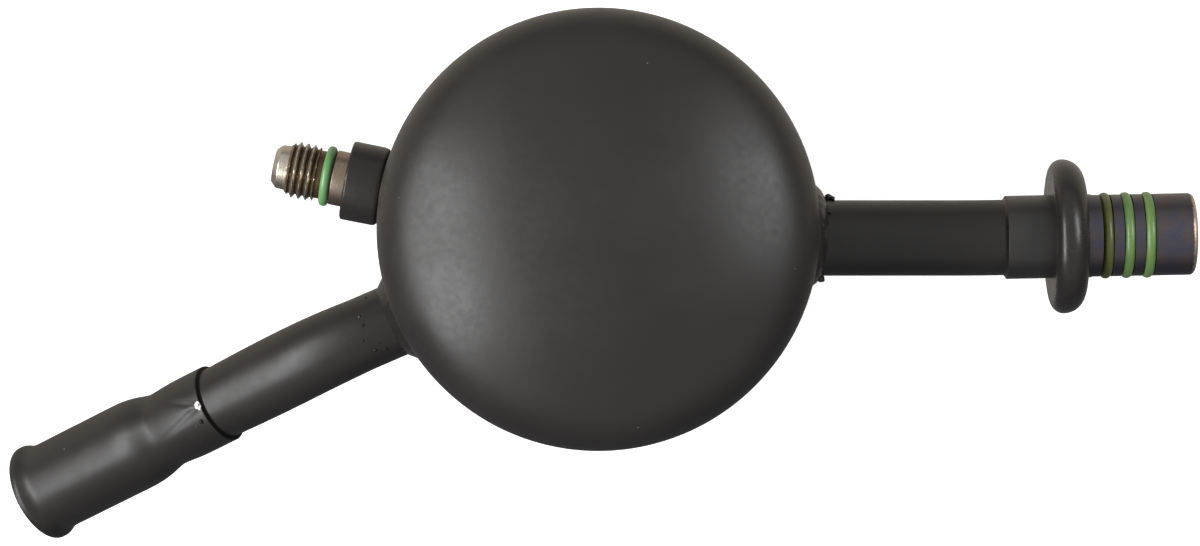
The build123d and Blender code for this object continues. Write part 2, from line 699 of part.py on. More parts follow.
# Oil filter: housing with a saddle that snaps round the U-bend, and a screen cup from below
POCKET_RADIUS = FILTER_OD / 2 - FILTER_WALL
SADDLE_RADIUS = TUBE_RADIUS + SADDLE_PLAY + SADDLE_WALL


def oil_filter_housing():
    flange_top = FILTER_FOOT_Z + SCREEN_FLANGE
    body = ring(FILTER_OD / 2, POCKET_RADIUS, flange_top, SADDLE_FOOT_Z)
    body += ring(SADDLE_RADIUS, FILTER_THROAT / 2, SADDLE_FOOT_Z, U_FOOT_Z + SADDLE_SNAP)
    window = Pos(0, 0, flange_top + WINDOW_SILL + WINDOW_HEIGHT / 2) * Box(
        FILTER_OD, WINDOW_WIDTH, WINDOW_HEIGHT, align=(Align.MIN, Align.CENTER, Align.CENTER)
    )
    body -= Compound(PolarLocations(0, WINDOW_COUNT) * window)
    start = Plane(origin=at(UP_LEG, U_CENTRE_Z), z_dir=(0, 0, -1))
    channel = sweep(start * Circle(TUBE_RADIUS + SADDLE_PLAY), path=Wire([u_bend()]))
    turn = Rot(Z=PICKUP_SWING + 180 / WINDOW_COUNT)
    return Pos(U_CENTRE.X, U_CENTRE.Y, 0) * turn * body - channel


def oil_filter_screen():
    outer = POCKET_RADIUS - SCREEN_PLAY
    floor = FILTER_FOOT_Z + SCREEN_FLANGE
    cup = ring(outer, outer - SCREEN_WALL, floor, SADDLE_FOOT_Z - SCREEN_PLAY)
    cup += rod(FILTER_OD / 2, FILTER_FOOT_Z, floor)
    return Pos(U_CENTRE.X, U_CENTRE.Y, 0) * cup


# Drying bags and the straps that tie them to the tube
BAG_FOOT_Z = U_CENTRE_Z - BAG_BELOW_BEND_CENTRE
BAG_OUT = TUBE_RADIUS + BAG_PLAY + BAG_THICKNESS / 2
ALONG_U = Location(Plane(origin=(0, 0, 0), x_dir=PICKUP_DIR, z_dir=(0, 0, 1)))
LEG_ASIDE = DOWN_LEG.dot(Vector(-PICKUP_DIR.Y, PICKUP_DIR.X, 0))


def desiccant_bag(side):
    bag = Box(BAG_WIDTH, BAG_THICKNESS, BAG_HEIGHT)
    bag = fillet(bag.edges(), BAG_ROUND)
    return ALONG_U * Pos(0, LEG_ASIDE + side * BAG_OUT, BAG_FOOT_Z + BAG_HEIGHT / 2) * bag


def strap_outline(play):
    """Hull round both bags and both legs, grown by a play."""
    bags = RectangleRounded(
        BAG_WIDTH + 2 * play, 2 * BAG_OUT + BAG_THICKNESS + 2 * play, BAG_ROUND + play
    )
    up = Pos(DOWN_LEG.dot(PICKUP_DIR) + LEG_SPACING, 0) * Circle(TUBE_RADIUS + play)
    return make_hull(bags.edges() + up.edges())


def bag_strap(number):
    middle = BAG_FOOT_Z + BAG_HEIGHT / 2 + (number - (STRAP_COUNT - 1) / 2) * STRAP_SPACING
    loop = strap_outline(BAG_PLAY + STRAP_THICKNESS) - strap_outline(BAG_PLAY)
    band = extrude(loop, STRAP_WIDTH / 2, both=True)
    return ALONG_U * Pos(0, LEG_ASIDE, middle) * band


PARTS = {
    "upper_shell": upper_shell(),
    "lower_shell": lower_shell(),
    "girth_weld": girth_weld(),
    "inlet_tube": inlet_tube(),
    "inlet_weld": fillet_bead(INLET, TUBE_RADIUS, INLET_WELD_LEG),
    "inlet_socket": inlet_socket(),
    "inlet_braze": braze_ring(SLEEVE),
    "outlet_tube": outlet_tube(),
    "outlet_weld": fillet_bead(OUTLET, TUBE_RADIUS, OUTLET_WELD_LEG),
    "outlet_spigot": outlet_spigot(),
    "outlet_braze": braze_ring(SPIGOT),
    "coupling_cage": coupling_cage(),
    "garter_spring": garter_spring(),
    "switch_port": switch_port(),
    "port_weld": fillet_bead(PORT, BOSS_OD / 2, PORT_WELD_LEG),
    "port_o_ring": port_o_ring(),
    "valve_core_plug": valve_core_plug(),
    "valve_core_barrel": valve_core_barrel(),
    "valve_core_gasket": valve_core_gasket(),
    "valve_pin": valve_pin(),
    "valve_pin_seal": valve_pin_seal(),
    "valve_spring": valve_spring(),
    "vapour_hood": vapour_hood(),
    "oil_filter_housing": oil_filter_housing(),
    "oil_filter_screen": oil_filter_screen(),
    "desiccant_bag_1": desiccant_bag(1),
    "desiccant_bag_2": desiccant_bag(-1),
}
for seal in range(SEAL_COUNT):
    PARTS[f"outlet_o_ring_{seal + 1}"] = outlet_o_ring(seal)
for strap in range(STRAP_COUNT):
    PARTS[f"bag_strap_{strap + 1}"] = bag_strap(strap)

os.makedirs("parts", exist_ok=True)
for name, solid in PARTS.items():
    export_step(solid, f"parts/{name}.step")
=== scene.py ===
import json
import math

import bmesh
import bpy
from bpy.props import FloatProperty, FloatVectorProperty, IntProperty, PointerProperty
from mathutils import Matrix, Vector, noise


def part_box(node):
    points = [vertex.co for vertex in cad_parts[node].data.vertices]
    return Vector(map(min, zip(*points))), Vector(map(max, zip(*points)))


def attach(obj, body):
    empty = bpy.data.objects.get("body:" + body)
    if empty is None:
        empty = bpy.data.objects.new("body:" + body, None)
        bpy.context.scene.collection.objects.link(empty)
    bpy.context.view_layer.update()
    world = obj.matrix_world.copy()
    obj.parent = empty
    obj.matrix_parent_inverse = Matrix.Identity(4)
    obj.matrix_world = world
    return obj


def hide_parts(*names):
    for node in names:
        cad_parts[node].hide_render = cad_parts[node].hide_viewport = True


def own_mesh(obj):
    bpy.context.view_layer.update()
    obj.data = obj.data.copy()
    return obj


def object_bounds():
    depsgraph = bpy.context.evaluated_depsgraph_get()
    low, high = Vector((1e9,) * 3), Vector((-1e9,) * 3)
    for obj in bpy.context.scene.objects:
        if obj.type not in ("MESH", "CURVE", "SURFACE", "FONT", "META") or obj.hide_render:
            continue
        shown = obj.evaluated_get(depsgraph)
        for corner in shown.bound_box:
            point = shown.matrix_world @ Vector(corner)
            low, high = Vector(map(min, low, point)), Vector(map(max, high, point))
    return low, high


bl_info = {
    "name": "Suction Accumulator",
    "version": (1, 0, 0),
    "blender": (4, 5, 0),
    "location": "3D View > Sidebar > Accumulator",
    "description": "Paint, welds, threads and seals for a steel suction accumulator, on a plain stage",
    "category": "Object",
}

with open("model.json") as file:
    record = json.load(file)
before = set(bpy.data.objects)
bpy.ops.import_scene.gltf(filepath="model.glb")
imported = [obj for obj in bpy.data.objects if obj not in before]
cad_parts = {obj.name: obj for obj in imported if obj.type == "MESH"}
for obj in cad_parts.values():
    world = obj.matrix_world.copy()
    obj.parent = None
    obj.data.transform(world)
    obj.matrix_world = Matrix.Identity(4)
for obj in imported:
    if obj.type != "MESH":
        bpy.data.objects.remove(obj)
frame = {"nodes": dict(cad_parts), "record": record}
CAD_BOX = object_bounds()
NODES = frame["nodes"]
MOUNTS = {mount["name"]: mount for mount in frame["record"]["mounts"]}
MM = 0.001
UP = Vector((0, 0, 1))


def along(start, out):
    """Place whose Z runs out along an axis and whose X leans up; points in it are in millimetres."""
    side = UP.cross(out).normalized()
    turn = Matrix((out.cross(side), side * -1, out)).transposed()
    return Matrix.Translation(start) @ turn.to_4x4() @ Matrix.Scale(MM, 4)


def mounted(mount, back):
    """Place on a mount's axis, moved back from the mount's middle by so many millimetres."""
    out = Vector(MOUNTS[mount]["axis"]).normalized()
    return along(Vector(MOUNTS[mount]["pos_m"]) - out * back * MM, out)


def heading(angle):
    return Vector((math.cos(math.radians(angle)), math.sin(math.radians(angle)), 0))


# Places of the fittings: the edge of the spigot's socket and the edge of the inlet's sleeve, then
# the can's axis at the height of each port
SPIGOT = mounted("outlet_spigot_nose", 34.65)
SLEEVE = mounted("inlet_socket_bore", 34.086)
PORT = mounted("switch_port_thread", 62.15)
OUTLET = along(Vector((0, -1.4, 95)) * MM, heading(0))
INLET = along(Vector((0, 0, 69)) * MM, heading(203.3))


class AccumulatorSizes(bpy.types.PropertyGroup):
    can_radius: FloatProperty(
        name="Can radius",
        description="Outer radius of the drawn can, in millimetres",
        default=MOUNTS["can_band"]["dims"]["r_mm"],
    )
    thread_radius: FloatProperty(
        name="Thread radius",
        description="Outer radius of the switch port's thread, in millimetres",
        default=MOUNTS["switch_port_thread"]["dims"]["r_mm"],
    )
    thread_pitch: FloatProperty(
        name="Thread pitch",
        description="Distance from one thread crest to the next, in millimetres",
        default=1.5,
    )
    garter_turns: IntProperty(
        name="Garter spring turns",
        description="Turns of wire in the coupling's garter spring",
        default=54,
        min=12,
    )


class AccumulatorFinish(bpy.types.PropertyGroup):
    paint: FloatVectorProperty(
        name="Paint",
        description="Colour of the black paint",
        default=(0.017, 0.0155, 0.0148),
        subtype="COLOR",
        min=0,
        max=1,
    )
    rubber: FloatVectorProperty(
        name="Seal rubber",
        description="Colour of the green sealing rings",
        default=(0.1, 0.19, 0.05),
        subtype="COLOR",
        min=0,
        max=1,
    )
    old_rubber: FloatVectorProperty(
        name="Stained rubber",
        description="Colour of the innermost sealing ring",
        default=(0.075, 0.088, 0.012),
        subtype="COLOR",
        min=0,
        max=1,
    )
    port_rubber: FloatVectorProperty(
        name="Port seal rubber",
        description="Colour of the switch port's sealing ring",
        default=(0.12, 0.27, 0.1),
        subtype="COLOR",
        min=0,
        max=1,
    )


class AccumulatorStage(bpy.types.PropertyGroup):
    camera_height: FloatProperty(
        name="Camera height",
        description="Height of the camera above the can's strap band",
        default=0.965,
        subtype="DISTANCE",
        unit="LENGTH",
    )
    lens: FloatProperty(
        name="Lens",
        description="Focal length for a 36 mm wide sensor",
        default=124.3,
        subtype="DISTANCE_CAMERA",
    )
    left_power: FloatProperty(
        name="Left lamp",
        description="Power of the soft lamp on the left, in watts",
        default=13,
    )
    right_power: FloatProperty(
        name="Right lamp",
        description="Power of the soft lamp on the right, in watts",
        default=4,
    )


GROUPS = {
    "accumulator_sizes": AccumulatorSizes,
    "accumulator_finish": AccumulatorFinish,
    "accumulator_stage": AccumulatorStage,
}


# Shader helpers


def make(tree, kind, settings=None, **sockets):
    """One shader node: settings are its own options, sockets its inputs by name or number."""
    made = tree.nodes.new("ShaderNode" + kind)
    for name, value in (settings or {}).items():
        setattr(made, name, value)
    for name, value in sockets.items():
        number = name.removeprefix("in_")
        socket = made.inputs[int(number) if number.isdigit() else name.replace("_", " ")]
        if isinstance(value, bpy.types.NodeSocket):
            tree.links.new(value, socket)
        else:
            socket.default_value = value
    return made


def grain(tree, place, size, detail=2.0):
    """Cloudy pattern whose patches are about that many millimetres, from 0 to 1."""
    made = make(tree, "TexNoise", Vector=place, Scale=1 / (size * MM), Detail=detail)
    return made.outputs["Fac"]


def spots(tree, place, spacing, size):
    """Round dots of a size at an uneven spacing: 1 in a dot, 0 between."""
    cells = make(tree, "TexVoronoi", Vector=place, Scale=1 / (spacing * MM)).outputs["Distance"]
    edge = size / spacing / 2
    return spread(tree, cells, edge * 1.3, edge * 0.7)


def spread(tree, value, low, high, start=0.0, end=1.0):
    """A value's stretch from low to high, turned into start to end and held there."""
    made = make(
        tree,
        "MapRange",
        {"interpolation_type": "SMOOTHSTEP"},
        Value=value,
        in_1=low,
        in_2=high,
        in_3=start,
        in_4=end,
    )
    return made.outputs["Result"]


def combined(tree, one, two, how="ADD"):
    return make(tree, "Math", {"operation": how}, in_0=one, in_1=two).outputs[0]


def tint(tree, share, one, two):
    """Colour between two others."""
    one, two = ((*c, 1) if isinstance(c, (tuple, list)) else c for c in (one, two))
    made = make(tree, "Mix", {"data_type": "RGBA"}, in_0=share, in_6=one, in_7=two)
    return made.outputs[2]


def relief(tree, height, depth, strength=1.0, under=None):
    """Surface relief of a real depth in millimetres, on top of another one if given."""
    sockets = {"Height": height, "Distance": depth * MM, "Strength": strength}
    if under is not None:
        sockets["Normal"] = under
    return make(tree, "Bump", **sockets).outputs["Normal"]


def axis_places(tree, place, fitting):
    """Distance along a fitting's axis, distance from it, and the place with the turn unrolled."""
    offset = make(tree, "VectorMath", {"operation": "SUBTRACT"}, in_0=place, in_1=fitting.translation)
    parts = []
    for column in range(3):
        way = fitting.col[column].to_3d().normalized()
        made = make(tree, "VectorMath", {"operation": "DOT_PRODUCT"}, in_0=offset.outputs[0], in_1=way)
        parts.append(made.outputs["Value"])
    flat = make(tree, "CombineXYZ", in_0=parts[0], in_1=parts[1], in_2=0.0).outputs[0]
    radius = make(tree, "VectorMath", {"operation": "LENGTH"}, in_0=flat).outputs["Value"]
    rings = make(tree, "CombineXYZ", in_0=parts[2], in_1=radius, in_2=0.0).outputs[0]
    return parts[2], radius, rings


def new_finish(name, colour, roughness, metal=0.0, **more):
    """A material with one surface shader; returns it with its tree, shader and row coordinates."""
    material = bpy.data.materials.new(name)
    material.use_nodes = True
    tree = material.node_tree
    tree.nodes.clear()
    shader = make(
        tree,
        "BsdfPrincipled",
        Base_Color=(*colour, 1),
        Roughness=roughness,
        Metallic=metal,
        **more,
    )
    out = make(tree, "OutputMaterial")
    tree.links.new(shader.outputs["BSDF"], out.inputs["Surface"])
    place = make(tree, "TexCoord").outputs["Object"]
    return material, tree, shader, place


def feed(tree, shader, **sockets):
    for name, value in sockets.items():
        tree.links.new(value, shader.inputs[name.replace("_", " ")])


def shades(colour, low, high):
    return [tuple(part * share for part in colour) for share in (low, high)]


# Finishes


def black_paint(name="black_paint", worn=0.0, gloss=0.38):
    """Satin black paint with a fine orange peel and a few specks of dust in it."""
    colour = bpy.context.scene.accumulator_finish.paint
    material, tree, shader, place = new_finish(name, colour, gloss, IOR=1.36)
    cloud = grain(tree, place, 14)
    mist = grain(tree, place, 1.6, 3)
    speck = spots(tree, place, 9, 0.3)
    shade = tint(tree, cloud, *shades(colour, 0.85, 1.15))
    dusty = tint(tree, speck, shade, (0.16, 0.14, 0.12))
    if worn:
        scuff = spread(tree, grain(tree, place, 0.8, 4), 0.66, 0.72, 0, worn)
        dusty = tint(tree, scuff, dusty, (0.11, 0.1, 0.09))
    rough = combined(
        tree,
        spread(tree, cloud, 0.3, 0.7, gloss - 0.04, gloss + 0.02),
        spread(tree, mist, 0.3, 0.7, 0, 0.05),
    )
    peel = relief(tree, grain(tree, place, 0.9, 1), 0.02, 0.4)
    peel = relief(tree, grain(tree, place, 5, 1), 0.05, 0.3, peel)
    feed(tree, shader, Base_Color=dusty, Roughness=rough, Normal=peel)
    return material


def seam_painted_shade():
    """Near-black matt paint, darker than the can's own black paint: painted shade for the narrow step where a
    socket ends on its tube and for the undercut under the port's boss.
    """
    material, tree, shader, place = new_finish("seam_painted_shade", (0.006, 0.0055, 0.005), 0.6, IOR=1.2)
    lump = grain(tree, place, 1.2, 2)
    feed(tree, shader, Normal=relief(tree, lump, 0.15, 0.6))
    # The near-black colour here is painted shade, not a different paint on the real part.
    feed(tree, shader, Base_Color=tint(tree, lump, (0.003, 0.003, 0.003), (0.012, 0.01, 0.009)))
    return material


def chip_with_painted_glint():
    """The socket's paint, with one spot at the edge of its sleeve: a bare chip whose near-white colour is a
    painted highlight.
    """
    material = black_paint("chip_with_painted_glint")
    tree = material.node_tree
    shader = next(n for n in tree.nodes if n.bl_idname == "ShaderNodeBsdfPrincipled")
    place = next(n for n in tree.nodes if n.bl_idname == "ShaderNodeTexCoord").outputs["Object"]
    old = shader.inputs["Base Color"].links[0].from_socket
    chip = SLEEVE @ Vector((8.75, 1.5, 0.75))
    ragged = combined(tree, grain(tree, place, 0.9, 3), 1.3 * MM, "MULTIPLY")
    near = make(tree, "VectorMath", {"operation": "DISTANCE"}, in_0=place, in_1=chip).outputs["Value"]
    near = combined(tree, near, ragged)
    # Painted highlight: the chip's spot is coloured near white, standing in for a glint on it.
    bare = spread(tree, near, 1.55 * MM, 1.4 * MM)
    feed(tree, shader, Base_Color=tint(tree, bare, old, (0.85, 0.82, 0.82)))
    return material


def blued_steel():
    """The spigot: painted as far as the cage, then dark blued steel with a worn rim."""
    paint = bpy.context.scene.accumulator_finish.paint
    material, tree, shader, place = new_finish("blued_steel", (0.05, 0.05, 0.06), 0.35)
    height, radius, rings = axis_places(tree, place, SPIGOT)
    drift = grain(tree, place, 3.5, 3)
    fine = grain(tree, place, 0.5, 4)
    turning = make(tree, "TexNoise", Vector=rings, Scale=5000, Detail=2.0).outputs["Fac"]
    steel = tint(tree, spread(tree, drift, 0.36, 0.64), (0.062, 0.064, 0.088), (0.078, 0.067, 0.07))
    brown = spread(tree, fine, 0.6, 0.7, 0, 0.6)
    steel = tint(tree, brown, steel, (0.085, 0.055, 0.035))
    rim = spread(tree, combined(tree, height, combined(tree, fine, 0.8 * MM, "MULTIPLY")), 38.9 * MM, 39.4 * MM)
    steel = tint(tree, rim, steel, (0.42, 0.33, 0.25))
    edge = spread(tree, combined(tree, radius, combined(tree, drift, 0.3 * MM, "MULTIPLY")), 8.93 * MM, 9.05 * MM, 0, 0.5)
    steel = tint(tree, edge, steel, (0.3, 0.26, 0.22))
    bare = spread(tree, height, 15.0 * MM, 15.6 * MM)
    feed(
        tree,
        shader,
        Base_Color=tint(tree, bare, tuple(paint), steel),
        Metallic=combined(tree, bare, 0.92, "MULTIPLY"),
        Roughness=spread(tree, combined(tree, fine, turning), 0.7, 1.3, 0.3, 0.44),
        Normal=relief(tree, turning, 0.015, 0.5, relief(tree, fine, 0.02, 0.3)),
    )
    return material


def port_steel():
    """The switch port: painted boss, then bare steel stained brown in the roots of its thread."""
    paint = bpy.context.scene.accumulator_finish.paint
    material, tree, shader, place = new_finish("port_steel", (0.4, 0.38, 0.35), 0.35, IOR=1.36)
    height, radius, rings = axis_places(tree, place, PORT)
    fine = grain(tree, place, 0.5, 4)
    blotch = grain(tree, place, 1.6, 3)
    turning = make(tree, "TexNoise", Vector=rings, Scale=6000, Detail=2.0).outputs["Fac"]
    ragged = combined(tree, blotch, 0.5 * MM, "MULTIPLY")
    steel = tint(tree, blotch, (0.36, 0.32, 0.27), (0.5, 0.46, 0.4))
    root = spread(tree, combined(tree, radius, ragged), 6.05 * MM, 5.45 * MM)
    in_thread = spread(tree, height, 65.3 * MM, 64.9 * MM)
    stained = combined(tree, root, in_thread, "MULTIPLY")
    steel = tint(tree, stained, steel, (0.09, 0.058, 0.028))
    rust = spread(tree, fine, 0.55, 0.68, 0, 0.7)
    steel = tint(tree, combined(tree, rust, in_thread, "MULTIPLY"), steel, (0.17, 0.095, 0.04))
    on_neck = spread(tree, height, 56.3 * MM, 55.9 * MM, 0, 0.75)
    steel = tint(tree, on_neck, steel, tint(tree, blotch, (0.2, 0.13, 0.075), (0.13, 0.11, 0.1)))
    bare = spread(tree, height, 53.0 * MM, 53.15 * MM)
    metal = combined(tree, bare, spread(tree, stained, 0, 1, 0.95, 0.6), "MULTIPLY")
    rough = spread(tree, combined(tree, fine, turning), 0.7, 1.3, 0.24, 0.4)
    feed(
        tree,
        shader,
        Base_Color=tint(tree, bare, tuple(paint), steel),
        Metallic=metal,
        Roughness=rough,
        Normal=relief(tree, turning, 0.012, 0.5, relief(tree, blotch, 0.04, 0.3)),
    )
    return material


def seal_rubber(name, colour, dirt, fitting):
    """Green rubber, oily, with dirt on it; the faint mould line is made in the rings' shape, not in this finish.
    """
    material, tree, shader, place = new_finish(name, colour, 0.34, Specular_IOR_Level=0.55)
    height, radius, rings = axis_places(tree, place, fitting)
    cloud = grain(tree, place, 2.2, 3)
    fine = grain(tree, place, 0.35, 3)
    shade = tint(tree, cloud, *shades(colour, 0.78, 1.2))
    grime = spread(tree, combined(tree, cloud, fine, "MULTIPLY"), 0.3, 0.42, 0, dirt)
    feed(
        tree,
        shader,
        Base_Color=tint(tree, grime, shade, (0.09, 0.07, 0.02)),
        Roughness=spread(tree, fine, 0.3, 0.7, 0.28, 0.44),
        Normal=relief(tree, fine, 0.02, 0.35),
    )
    return material


def turned_metal(name, colour, fitting, roughness=0.25):
    """Small turned metal piece with fine turning marks."""
    material, tree, shader, place = new_finish(name, colour, roughness, 1.0)
    height, radius, rings = axis_places(tree, place, fitting)
    turning = make(tree, "TexNoise", Vector=rings, Scale=9000, Detail=2.0).outputs["Fac"]
    cloud = grain(tree, place, 1.2, 3)
    feed(
        tree,
        shader,
        Base_Color=tint(tree, cloud, *shades(colour, 0.8, 1.1)),
        Roughness=spread(tree, turning, 0.3, 0.7, roughness * 0.8, roughness * 1.3),
        Normal=relief(tree, turning, 0.008, 0.5),
    )
    return material


def moulded_plastic(name, colour, woven=0.0):
    """Moulded nylon with a fine spark-eroded grain, or with the mesh of a woven screen whose openings are painted
    dark as shade.
    """
    material, tree, shader, place = new_finish(name, colour, 0.5, Specular_IOR_Level=0.45)
    cloud = grain(tree, place, 6, 2)
    fine = grain(tree, place, 0.25, 2)
    height = fine
    shade = tint(tree, cloud, *shades(colour, 0.9, 1.08))
    if woven:
        waves = [
            make(tree, "TexWave", {"bands_direction": way}, Vector=place, Scale=314 / woven).outputs["Fac"]
            for way in ("X", "Z")
        ]
        height = combined(tree, *waves, "MAXIMUM")
        # Painted shade: between the woven wires the colour falls to a quarter, for the dark openings of the mesh.
        shade = tint(tree, height, *shades(colour, 0.25, 1.1))
    feed(
        tree,
        shader,
        Base_Color=shade,
        Roughness=spread(tree, cloud, 0.3, 0.7, 0.42, 0.55),
        Normal=relief(tree, height, 0.08 if woven else 0.015, 0.5),
    )
    return material


def cloth(name, colour, thread, fuzz=0.4):
    """Felt or webbing: crossed threads of a spacing in millimetres, with loose fibres over them."""
    material, tree, shader, place = new_finish(
        name, colour, 0.85, Sheen_Weight=fuzz, Sheen_Roughness=0.5, Specular_IOR_Level=0.2
    )
    fibre = make(tree, "TexNoise", Vector=place, Scale=1 / (0.25 * MM), Detail=4.0, Distortion=1.5)
    fibre = fibre.outputs["Fac"]
    waves = [
        make(tree, "TexWave", {"bands_direction": way}, Vector=place, Scale=314 / thread).outputs["Fac"]
        for way in ("DIAGONAL", "Z")
    ]
    weave = combined(tree, *waves, "MULTIPLY")
    cloud = grain(tree, place, 9, 3)
    shade = tint(tree, combined(tree, fibre, cloud, "MULTIPLY"), *shades(colour, 0.7, 1.5))
    feed(
        tree,
        shader,
        Base_Color=shade,
        Roughness=spread(tree, fibre, 0.3, 0.7, 0.78, 0.95),
        Normal=relief(tree, fibre, 0.12, 0.5, relief(tree, weave, 0.1, 0.6)),
    )
    return material


def give(finish, *names):
    """Puts a finish on CAD nodes."""
    for name in names:
        slots = NODES[name].data.materials
        slots.clear()
        slots.append(finish)


# Mesh helpers; points are in millimetres in a fitting's place


def add_grid(made, rows, closed=True, turn=0, wrap=False):
    """Faces between rows of points; a closed row's last point meets the first, turn rows on."""
    spots_made = [[made.verts.new(point) for point in row] for row in rows]
    count = len(rows[0])
    steps = len(rows) if wrap else len(rows) - 1
    for low in range(steps):
        for number in range(count if closed else count - 1):
            after = (number + 1) % count
            jump = turn if after == 0 else 0
            if low + 1 + jump >= len(rows) and not wrap:
                continue
            high = (low + 1) % len(rows)
            far_low, far_high = (low + jump) % len(rows), (low + 1 + jump) % len(rows)
            corners = (
                spots_made[low][number],
                spots_made[far_low][after],
                spots_made[far_high][after],
                spots_made[high][number],
            )
            made.faces.new(corners)


def turned_rows(outline, around, change=None):
    """Rows round Z for an outline of (radius, height); change may move a point, given its turn."""
    rows = []
    for radius, height in outline:
        row = []
        for number in range(around):
            turn = math.tau * number / around
            reach, level = change(turn, radius, height) if change else (radius, height)
            row.append((reach * math.cos(turn), reach * math.sin(turn), level))
        rows.append(row)
    return rows


def softened(corners, steps=4):
    """Outline through (radius, height, rounding) corners, each rounded by a short curve."""
    outline = []
    count = len(corners)
    for number, (x, y, rounding) in enumerate(corners):
        here = Vector((x, y))
        if not rounding:
            outline.append((x, y))
            continue
        ends = []
        for other in (corners[number - 1], corners[(number + 1) % count]):
            way = Vector(other[:2]) - here
            ends.append(here + way.normalized() * min(rounding, way.length * 0.5))
        for step in range(steps + 1):
            share = step / steps
            point = ends[0] * (1 - share) ** 2 + here * 2 * share * (1 - share) + ends[1] * share**2
            outline.append(tuple(point))
    return outline


def divided(outline, step):
    """The outline with points added so that none is further than a step from the next."""
    dense = []
    for one, two in zip(outline, [*outline[1:], outline[0]]):
        span = math.dist(one, two)
        parts = max(1, math.ceil(span / step))
        for part in range(parts):
            dense.append(tuple(a + (b - a) * part / parts for a, b in zip(one, two)))
    return dense


def pipe_rows(points, radius, sides, closed=False):
    """Rows round a wire that follows points."""
    rows = []
    count = len(points)
    side = None
    for number, point in enumerate(points):
        before = points[number - 1] if closed or number else point
        after = points[(number + 1) % count] if closed or number + 1 < count else point
        way = (after - before).normalized()
        if side is None:
            side = way.orthogonal()
        side = (side - way * side.dot(way)).normalized()
        other = way.cross(side)
        turns = [math.tau * step / sides for step in range(sides)]
        rows.append([point + (side * math.cos(t) + other * math.sin(t)) * radius for t in turns])
    return rows


def add_lump(made, middle, size, seed):
    """Small flattened bead of spatter."""
    rows = []
    for level in range(1, 6):
        tilt = math.pi * level / 6
        row = []
        for number in range(10):
            turn = math.tau * number / 10
            way = Vector((math.sin(tilt) * math.cos(turn), math.sin(tilt) * math.sin(turn), math.cos(tilt)))
            row.append(middle + way * size * (1 + 0.35 * noise.noise(way * 1.5 + Vector((seed, 0, 0)))))
        rows.append(row)
    add_grid(made, rows)
    for row in (rows[0], rows[-1]):
        centre = sum(row, Vector()) / len(row)
        add_grid(made, [row, [centre] * len(row)])


def piece(name, made, place, finish, replaced, body="vessel", sharp=38):
    """Turns a mesh under construction into a piece that stands for a CAD node."""
    bmesh.ops.remove_doubles(made, verts=made.verts, dist=1e-4)
    bmesh.ops.recalc_face_normals(made, faces=made.faces)
    mesh = bpy.data.meshes.new(name)
    made.to_mesh(mesh)
    made.free()
    mesh.transform(place)
    mesh.shade_smooth()
    mesh.set_sharp_from_angle(angle=math.radians(sharp))
    mesh.materials.append(finish)
    done = bpy.data.objects.new(name, mesh)
    bpy.context.scene.collection.objects.link(done)
    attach(done, body)
    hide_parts(replaced)
    return done


def bead_rows(can, radius, climb, reach, crown, seed, around=220, pitch=2.3, depth=0.035):
    """Rows of a weld bead that runs round a tube on the can's wall.

    climb and reach give the bead's legs along the tube and over the wall for a turn round the
    tube. The ripples are the frozen edges of the weld pool.
    """

    def wall(reach_now, turn):
        return math.sqrt(can**2 - (reach_now * math.sin(turn)) ** 2)

    shares = [step / 9 for step in range(10)]
    rows = [[] for _ in range(len(shares) + 3)]
    for number in range(around):
        turn = math.tau * number / around
        wobble = noise.noise(Vector((math.cos(turn), math.sin(turn), seed)) * 2.2)
        up = climb(turn) * (1 + 0.1 * wobble)
        over = reach(turn) * (1 - 0.12 * wobble)
        top = wall(radius, turn) + up
        foot = wall(radius + over, turn)
        place = turn * (radius + over / 2) / pitch
        line = []
        for share in shares:
            bow = math.sin(math.pi * share)
            ripple = math.cos(math.tau * (place + 0.55 * (2 * share - 1) ** 2)) * depth * bow**0.5
            out = crown(turn) * bow + ripple
            level = top + (foot - top) * share + out * 0.75
            line.append((radius + over * share + out * 0.66, level))
        line.append((radius + over - 0.1, foot - 0.7))
        line.append((radius - 0.4, wall(radius, turn) - 0.7))
        line.append((radius - 0.4, top - 0.25))
        for row, (away, level) in zip(rows, line):
            row.append((away * math.cos(turn), away * math.sin(turn), level))
    return rows


class ACCUMULATOR_OT_paintwork(bpy.types.Operator):
    """Gives the painted steel pieces their black paint"""

    bl_idname = "accumulator.paintwork"
    bl_label = "Paintwork"

    def execute(self, context):
        give(black_paint(), "lower_shell", "outlet_tube")
        give(black_paint("cage_paint", 0.25, 0.27), "coupling_cage", "outlet_braze")
        # The inlet's braze ring gets near-black paint: painted shade in the step at the end of the socket.
        give(seam_painted_shade(), "inlet_braze")
        return {"FINISHED"}


def dome_outline(can, top, knuckle=12.0, crown=80.0, blend=5.5):
    """Outer outline of a dished end from its middle to the can's side, as (radius, height, slope).

    The bend grows smoothly from the crown's to the knuckle's, as in a drawn cup.
    """

    def followed(start):
        radius, height, slope, run, step = 0.0, 0.0, 0.0, 0.0, 0.1
        points = [(radius, height, slope)]
        while slope < math.pi / 2:
            share = min(max((run - start + blend) / (2 * blend), 0.0), 1.0)
            share = share * share * (3 - 2 * share)
            slope = min(slope + step * (1 / crown + (1 / knuckle - 1 / crown) * share), math.pi / 2)
            radius += step * math.cos(slope)
            height -= step * math.sin(slope)
            run += step
            points.append((radius, height, slope))
        return points

    low, high = 20.0, 60.0
    for _ in range(40):
        middle = (low + high) / 2
        if followed(middle)[-1][0] < can:
            low = middle
        else:
            high = middle
    return [(radius, height + top, slope) for radius, height, slope in followed(low)[::7]]


